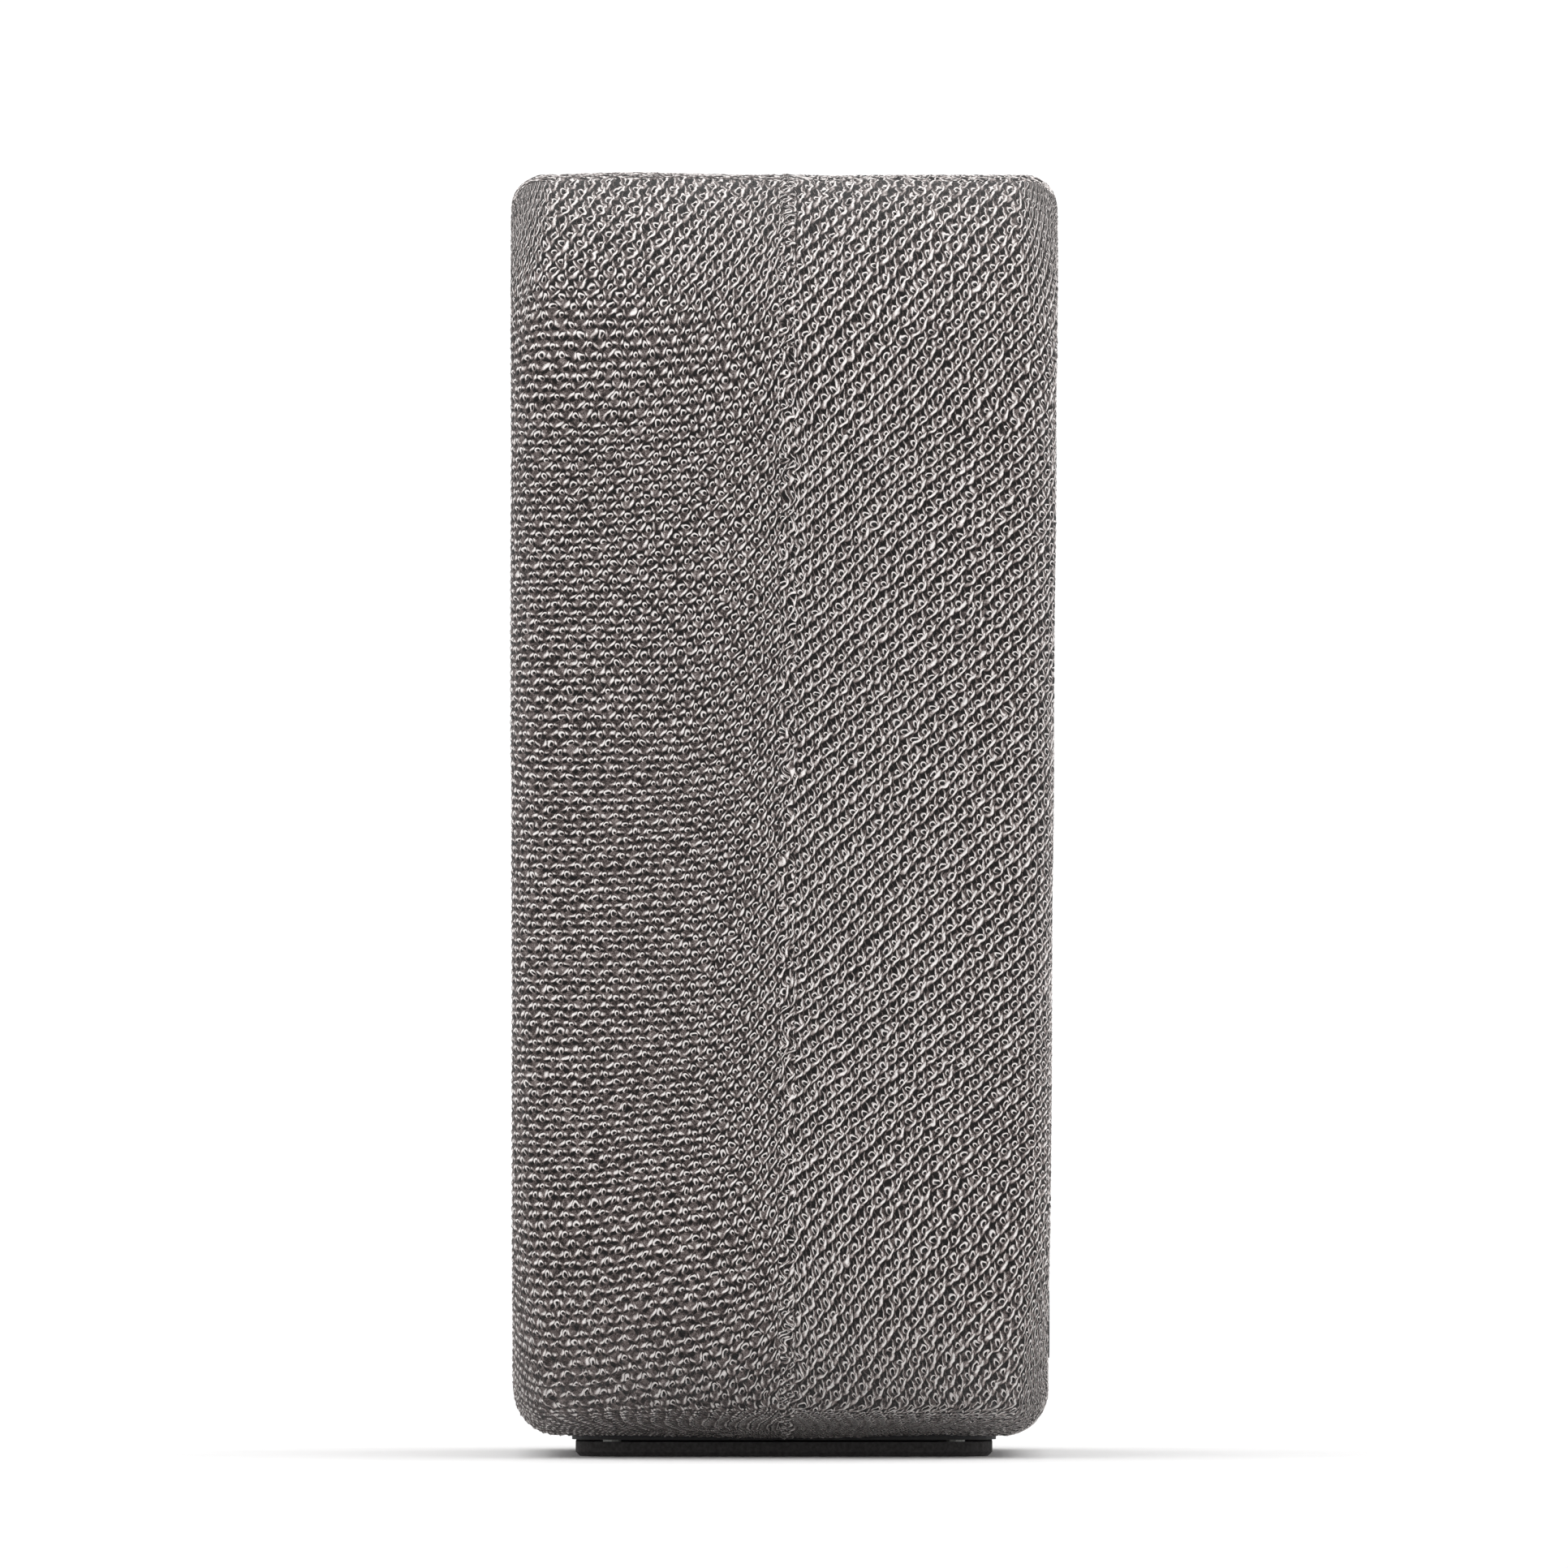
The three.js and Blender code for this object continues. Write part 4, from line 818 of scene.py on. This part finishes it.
steel = finish(
    "steel_pressed_zinc",
    speckle(0.4 * MM, 3.0, (6.0, 1.0, 1.0)),
    [(0.3, "8e9193"), (0.7, "b2b5b7")],
    0.015 * MM,
    Metallic=1.0,
    Roughness=0.38,
)
dress("steel", steel)

# ---- Woofer magnet ----
# A ferrite ring, pressed, sintered and ground. Dark, dull and slightly crystalline.

ferrite = finish(
    "ferrite_sintered",
    cells(0.6 * MM),
    [(0.0, "232224"), (0.8, "373638")],
    0.02 * MM,
    Roughness=0.7,
    IOR=2.3,
)
dress("ferrite", ferrite)

# ---- Woofer cone and dust cap ----
# Paper pulp, felted on a mesh and coated. Long fibres show under the coat as a cloudy, matt surface.

paper = finish(
    "paper_pulp_coated",
    speckle(0.6 * MM, 5.0, (1.0, 2.5, 1.0)),
    [(0.3, "19191a"), (0.7, "2b2b2c")],
    0.06 * MM,
    Roughness=0.82,
)
dress("cone_paper", paper)

# ---- Voice coils ----
# Enamelled copper wire, wound in close turns on a former. The turns show as bright rings.

WIRE_PITCH = 0.3 * MM  # coarser than the real 0.2 mm wire, so that the turns show


def bands(pitch, direction, distortion=0.0, **settings):
    """A pattern of bands side by side along one direction, pitch apart."""

    def pattern(tree):
        place = add_node(tree, "ShaderNodeTexCoord")
        wave = add_node(
            tree,
            "ShaderNodeTexWave",
            {"Vector": place.outputs["Object"], "Scale": math.pi / 10 / pitch, "Distortion": distortion},
            bands_direction=direction,
            **settings,
        )
        return wave.outputs["Fac"]

    return pattern


copper = finish(
    "copper_enamelled",
    bands(WIRE_PITCH, "Y", 0.2),
    [(0.0, "5a2a12"), (0.6, "b06a34"), (1.0, "cf8a4c")],
    0.08 * MM,
    Metallic=1.0,
    Roughness=0.28,
    Coat_Weight=0.6,
)
dress("copper", copper)

# ---- Tweeter dome ----
# Woven silk, pressed hot into a dome and coated. Fine threads show through a slight gloss.


def woven(pitch):
    """A plain weave: threads over and under in X and Z, pitch apart."""

    def pattern(tree):
        threads = [bands(pitch, direction, 0.4)(tree) for direction in ("X", "Z")]
        crossed = add_node(tree, "ShaderNodeMath", {0: threads[0], 1: threads[1]}, operation="MULTIPLY")
        return crossed.outputs[0]

    return pattern


silk = finish(
    "silk_coated",
    woven(0.4 * MM),
    [(0.0, "0d0d0f"), (1.0, "26262a")],
    0.04 * MM,
    Roughness=0.5,
    Coat_Weight=0.3,
)
dress("dome_silk", silk)

# ---- Circuit boards ----
# Glass-epoxy with green solder mask over etched copper. The tracks stand up as paler lines under the mask.

TRACK_FIELD = 3.5 * MM


def tracks(tree):
    place = add_node(tree, "ShaderNodeTexCoord")
    fields = add_node(
        tree,
        "ShaderNodeTexVoronoi",
        {"Vector": place.outputs["Object"], "Scale": 1 / TRACK_FIELD, "Randomness": 1.0},
        distance="CHEBYCHEV",
    )
    repeated = add_node(
        tree, "ShaderNodeMath", {0: fields.outputs["Distance"], 1: 4.0}, operation="MULTIPLY"
    )
    lines = add_node(tree, "ShaderNodeMath", {0: repeated.outputs[0], 1: 1.0}, operation="PINGPONG")
    return lines.outputs[0]


mask = finish(
    "solder_mask_on_epoxy",
    tracks,
    [(0.0, "0c3320"), (0.55, "0f3f27"), (0.7, "1f6a43")],
    0.03 * MM,
    Roughness=0.35,
    Coat_Weight=0.4,
)
dress("circuit_board", mask)

# ---- Shield can, switch body and inlet pin ----
# Tinplate, pressed. Tin freezes in broad flakes, which show as faint spangle.

tinplate = finish(
    "tinplate_pressed",
    cells(4 * MM),
    [(0.0, "a5a7a8"), (0.8, "c6c8c9")],
    0.004 * MM,
    Metallic=1.0,
    Roughness=0.3,
)
dress("tinplate", tinplate)

# ---- Heat spreader ----
# Extruded aluminium, left bare. The die draws fine lines along its length.

aluminium = finish(
    "aluminium_extruded",
    speckle(0.25 * MM, 3.0, (1.0, 1.0, 40.0)),
    [(0.3, "a2a4a6"), (0.7, "c3c5c7")],
    0.01 * MM,
    Metallic=1.0,
    Roughness=0.33,
)
dress("aluminium", aluminium)

# ---- Light guide ----
# Polycarbonate, moulded clear with a milky diffusing agent.

polycarbonate = finish(
    "polycarbonate_diffusing",
    speckle(0.8 * MM),
    [(0.3, "d5d9db"), (0.7, "e9ecee")],
    0.01 * MM,
    Roughness=0.25,
    IOR=1.58,
    Transmission_Weight=0.5,
)
dress("clear_plastic", polycarbonate)

# ---- Aerials and touch ribbon ----
# Polyimide film over etched copper. The copper runs show as darker amber bands under the film.

polyimide = finish(
    "polyimide_on_copper",
    bands(1.6 * MM, "X", wave_profile="TRI"),
    [(0.3, "8a4e14"), (0.5, "c07f2c")],
    0.02 * MM,
    Roughness=0.3,
    Coat_Weight=0.5,
)
dress("polyimide", polyimide)

# ---- Harness ----
# PVC-insulated wires, one black and one red, twisted and taped. The twist shows as slanting turns.

pvc = finish(
    "pvc_extruded",
    bands(5 * MM, "DIAGONAL"),
    [(0.45, "141414"), (0.55, "6d1512")],
    0.15 * MM,
    Roughness=0.4,
    IOR=1.53,
)
dress("wire_jacket", pvc)

# ---- Woofer surround and spider ----
# The surround is a half roll of butyl rubber, the spider a corrugated disc of resin-treated cotton. Both are
# held at the rim and carried in and out by the cone. Each is made as sectors round the ring.

rubber = finish(
    "butyl_rubber_moulded",
    speckle(0.7 * MM),
    [(0.3, "0d0d0e"), (0.7, "161617")],
    0.01 * MM,
    Roughness=0.45,
    IOR=1.52,
)
treated_cotton = finish(
    "cotton_resin_treated",
    woven(0.7 * MM),
    [(0.0, "8a6524"), (1.0, "c9a45a")],
    0.12 * MM,
    Roughness=0.6,
)
WOOFER_Z = float(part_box("woofer_surround")[0][2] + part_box("woofer_surround")[1][2]) / 2
SECTORS = 10
SECTOR_STEPS = 10
ROLL_STEPS = 12
WAVE_STEPS = 48


def ring_sector(name, line, thickness, index, material):
    """One sector of a ring: line is (radius, y) from inner to outer, closed with its thickness behind."""
    section = line + [(radius, y + thickness) for radius, y in reversed(line)]
    points, faces = [], []
    count = len(section)
    for step in range(SECTOR_STEPS + 1):
        angle = 2 * math.pi * (index + step / SECTOR_STEPS) / SECTORS
        points += [(r * math.cos(angle), y, WOOFER_Z + r * math.sin(angle)) for r, y in section]
    for step in range(SECTOR_STEPS):
        start = step * count
        for i in range(count):
            j = (i + 1) % count
            faces.append((start + i, start + j, start + count + j, start + count + i))
    last = SECTOR_STEPS * count
    for i in range(len(line) - 1):
        j = count - 1 - i
        faces.append((i, j, j - 1, i + 1))
        faces.append((last + i, last + i + 1, last + j - 1, last + j))
    piece = mesh_piece(name, points, faces, material)
    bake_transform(piece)
    return piece


def fitted(node):
    """A ring node's outer radius, and its lowest and highest y."""
    lowest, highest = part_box(node)
    return float(highest[0]), float(lowest[1]), float(highest[1])


SKIN = 0.45 * MM
ROLL_CENTRE, ROLL_RADIUS = 29.6 * MM, 2.8 * MM
SURROUND_INNER = 25 * MM
outer, _, back = fitted("woofer_surround")
land_y = back - SKIN
half_roll = []
for step in range(ROLL_STEPS + 1):
    angle = math.pi * step / ROLL_STEPS
    half_roll.append((ROLL_CENTRE - ROLL_RADIUS * math.cos(angle), land_y - ROLL_RADIUS * math.sin(angle)))
surround_line = [(SURROUND_INNER, land_y)] + half_roll + [(outer, land_y)]

CLOTH = 0.4 * MM
SPIDER_INNER = 10.7 * MM
SPIDER_WAVES = 4
outer, front, back = fitted("woofer_spider")
spider_mid, spider_swell = (front + back - CLOTH) / 2, (back - front - CLOTH) / 2
spider_line = []
for step in range(WAVE_STEPS + 1):
    radius = SPIDER_INNER + (outer - SPIDER_INNER) * step / WAVE_STEPS
    y = spider_mid + spider_swell * math.cos(2 * math.pi * SPIDER_WAVES * step / WAVE_STEPS)
    spider_line.append((radius, y))
for node, line, thickness, material, slot in (
    ("woofer_surround", surround_line, SKIN, rubber, "surround_rubber"),
    ("woofer_spider", spider_line, CLOTH, treated_cotton, "spider_cloth"),
):
    for index in range(SECTORS):
        sector = ring_sector(f"{node}_sector_{index + 1}", line, thickness, index, material)
        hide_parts(node)
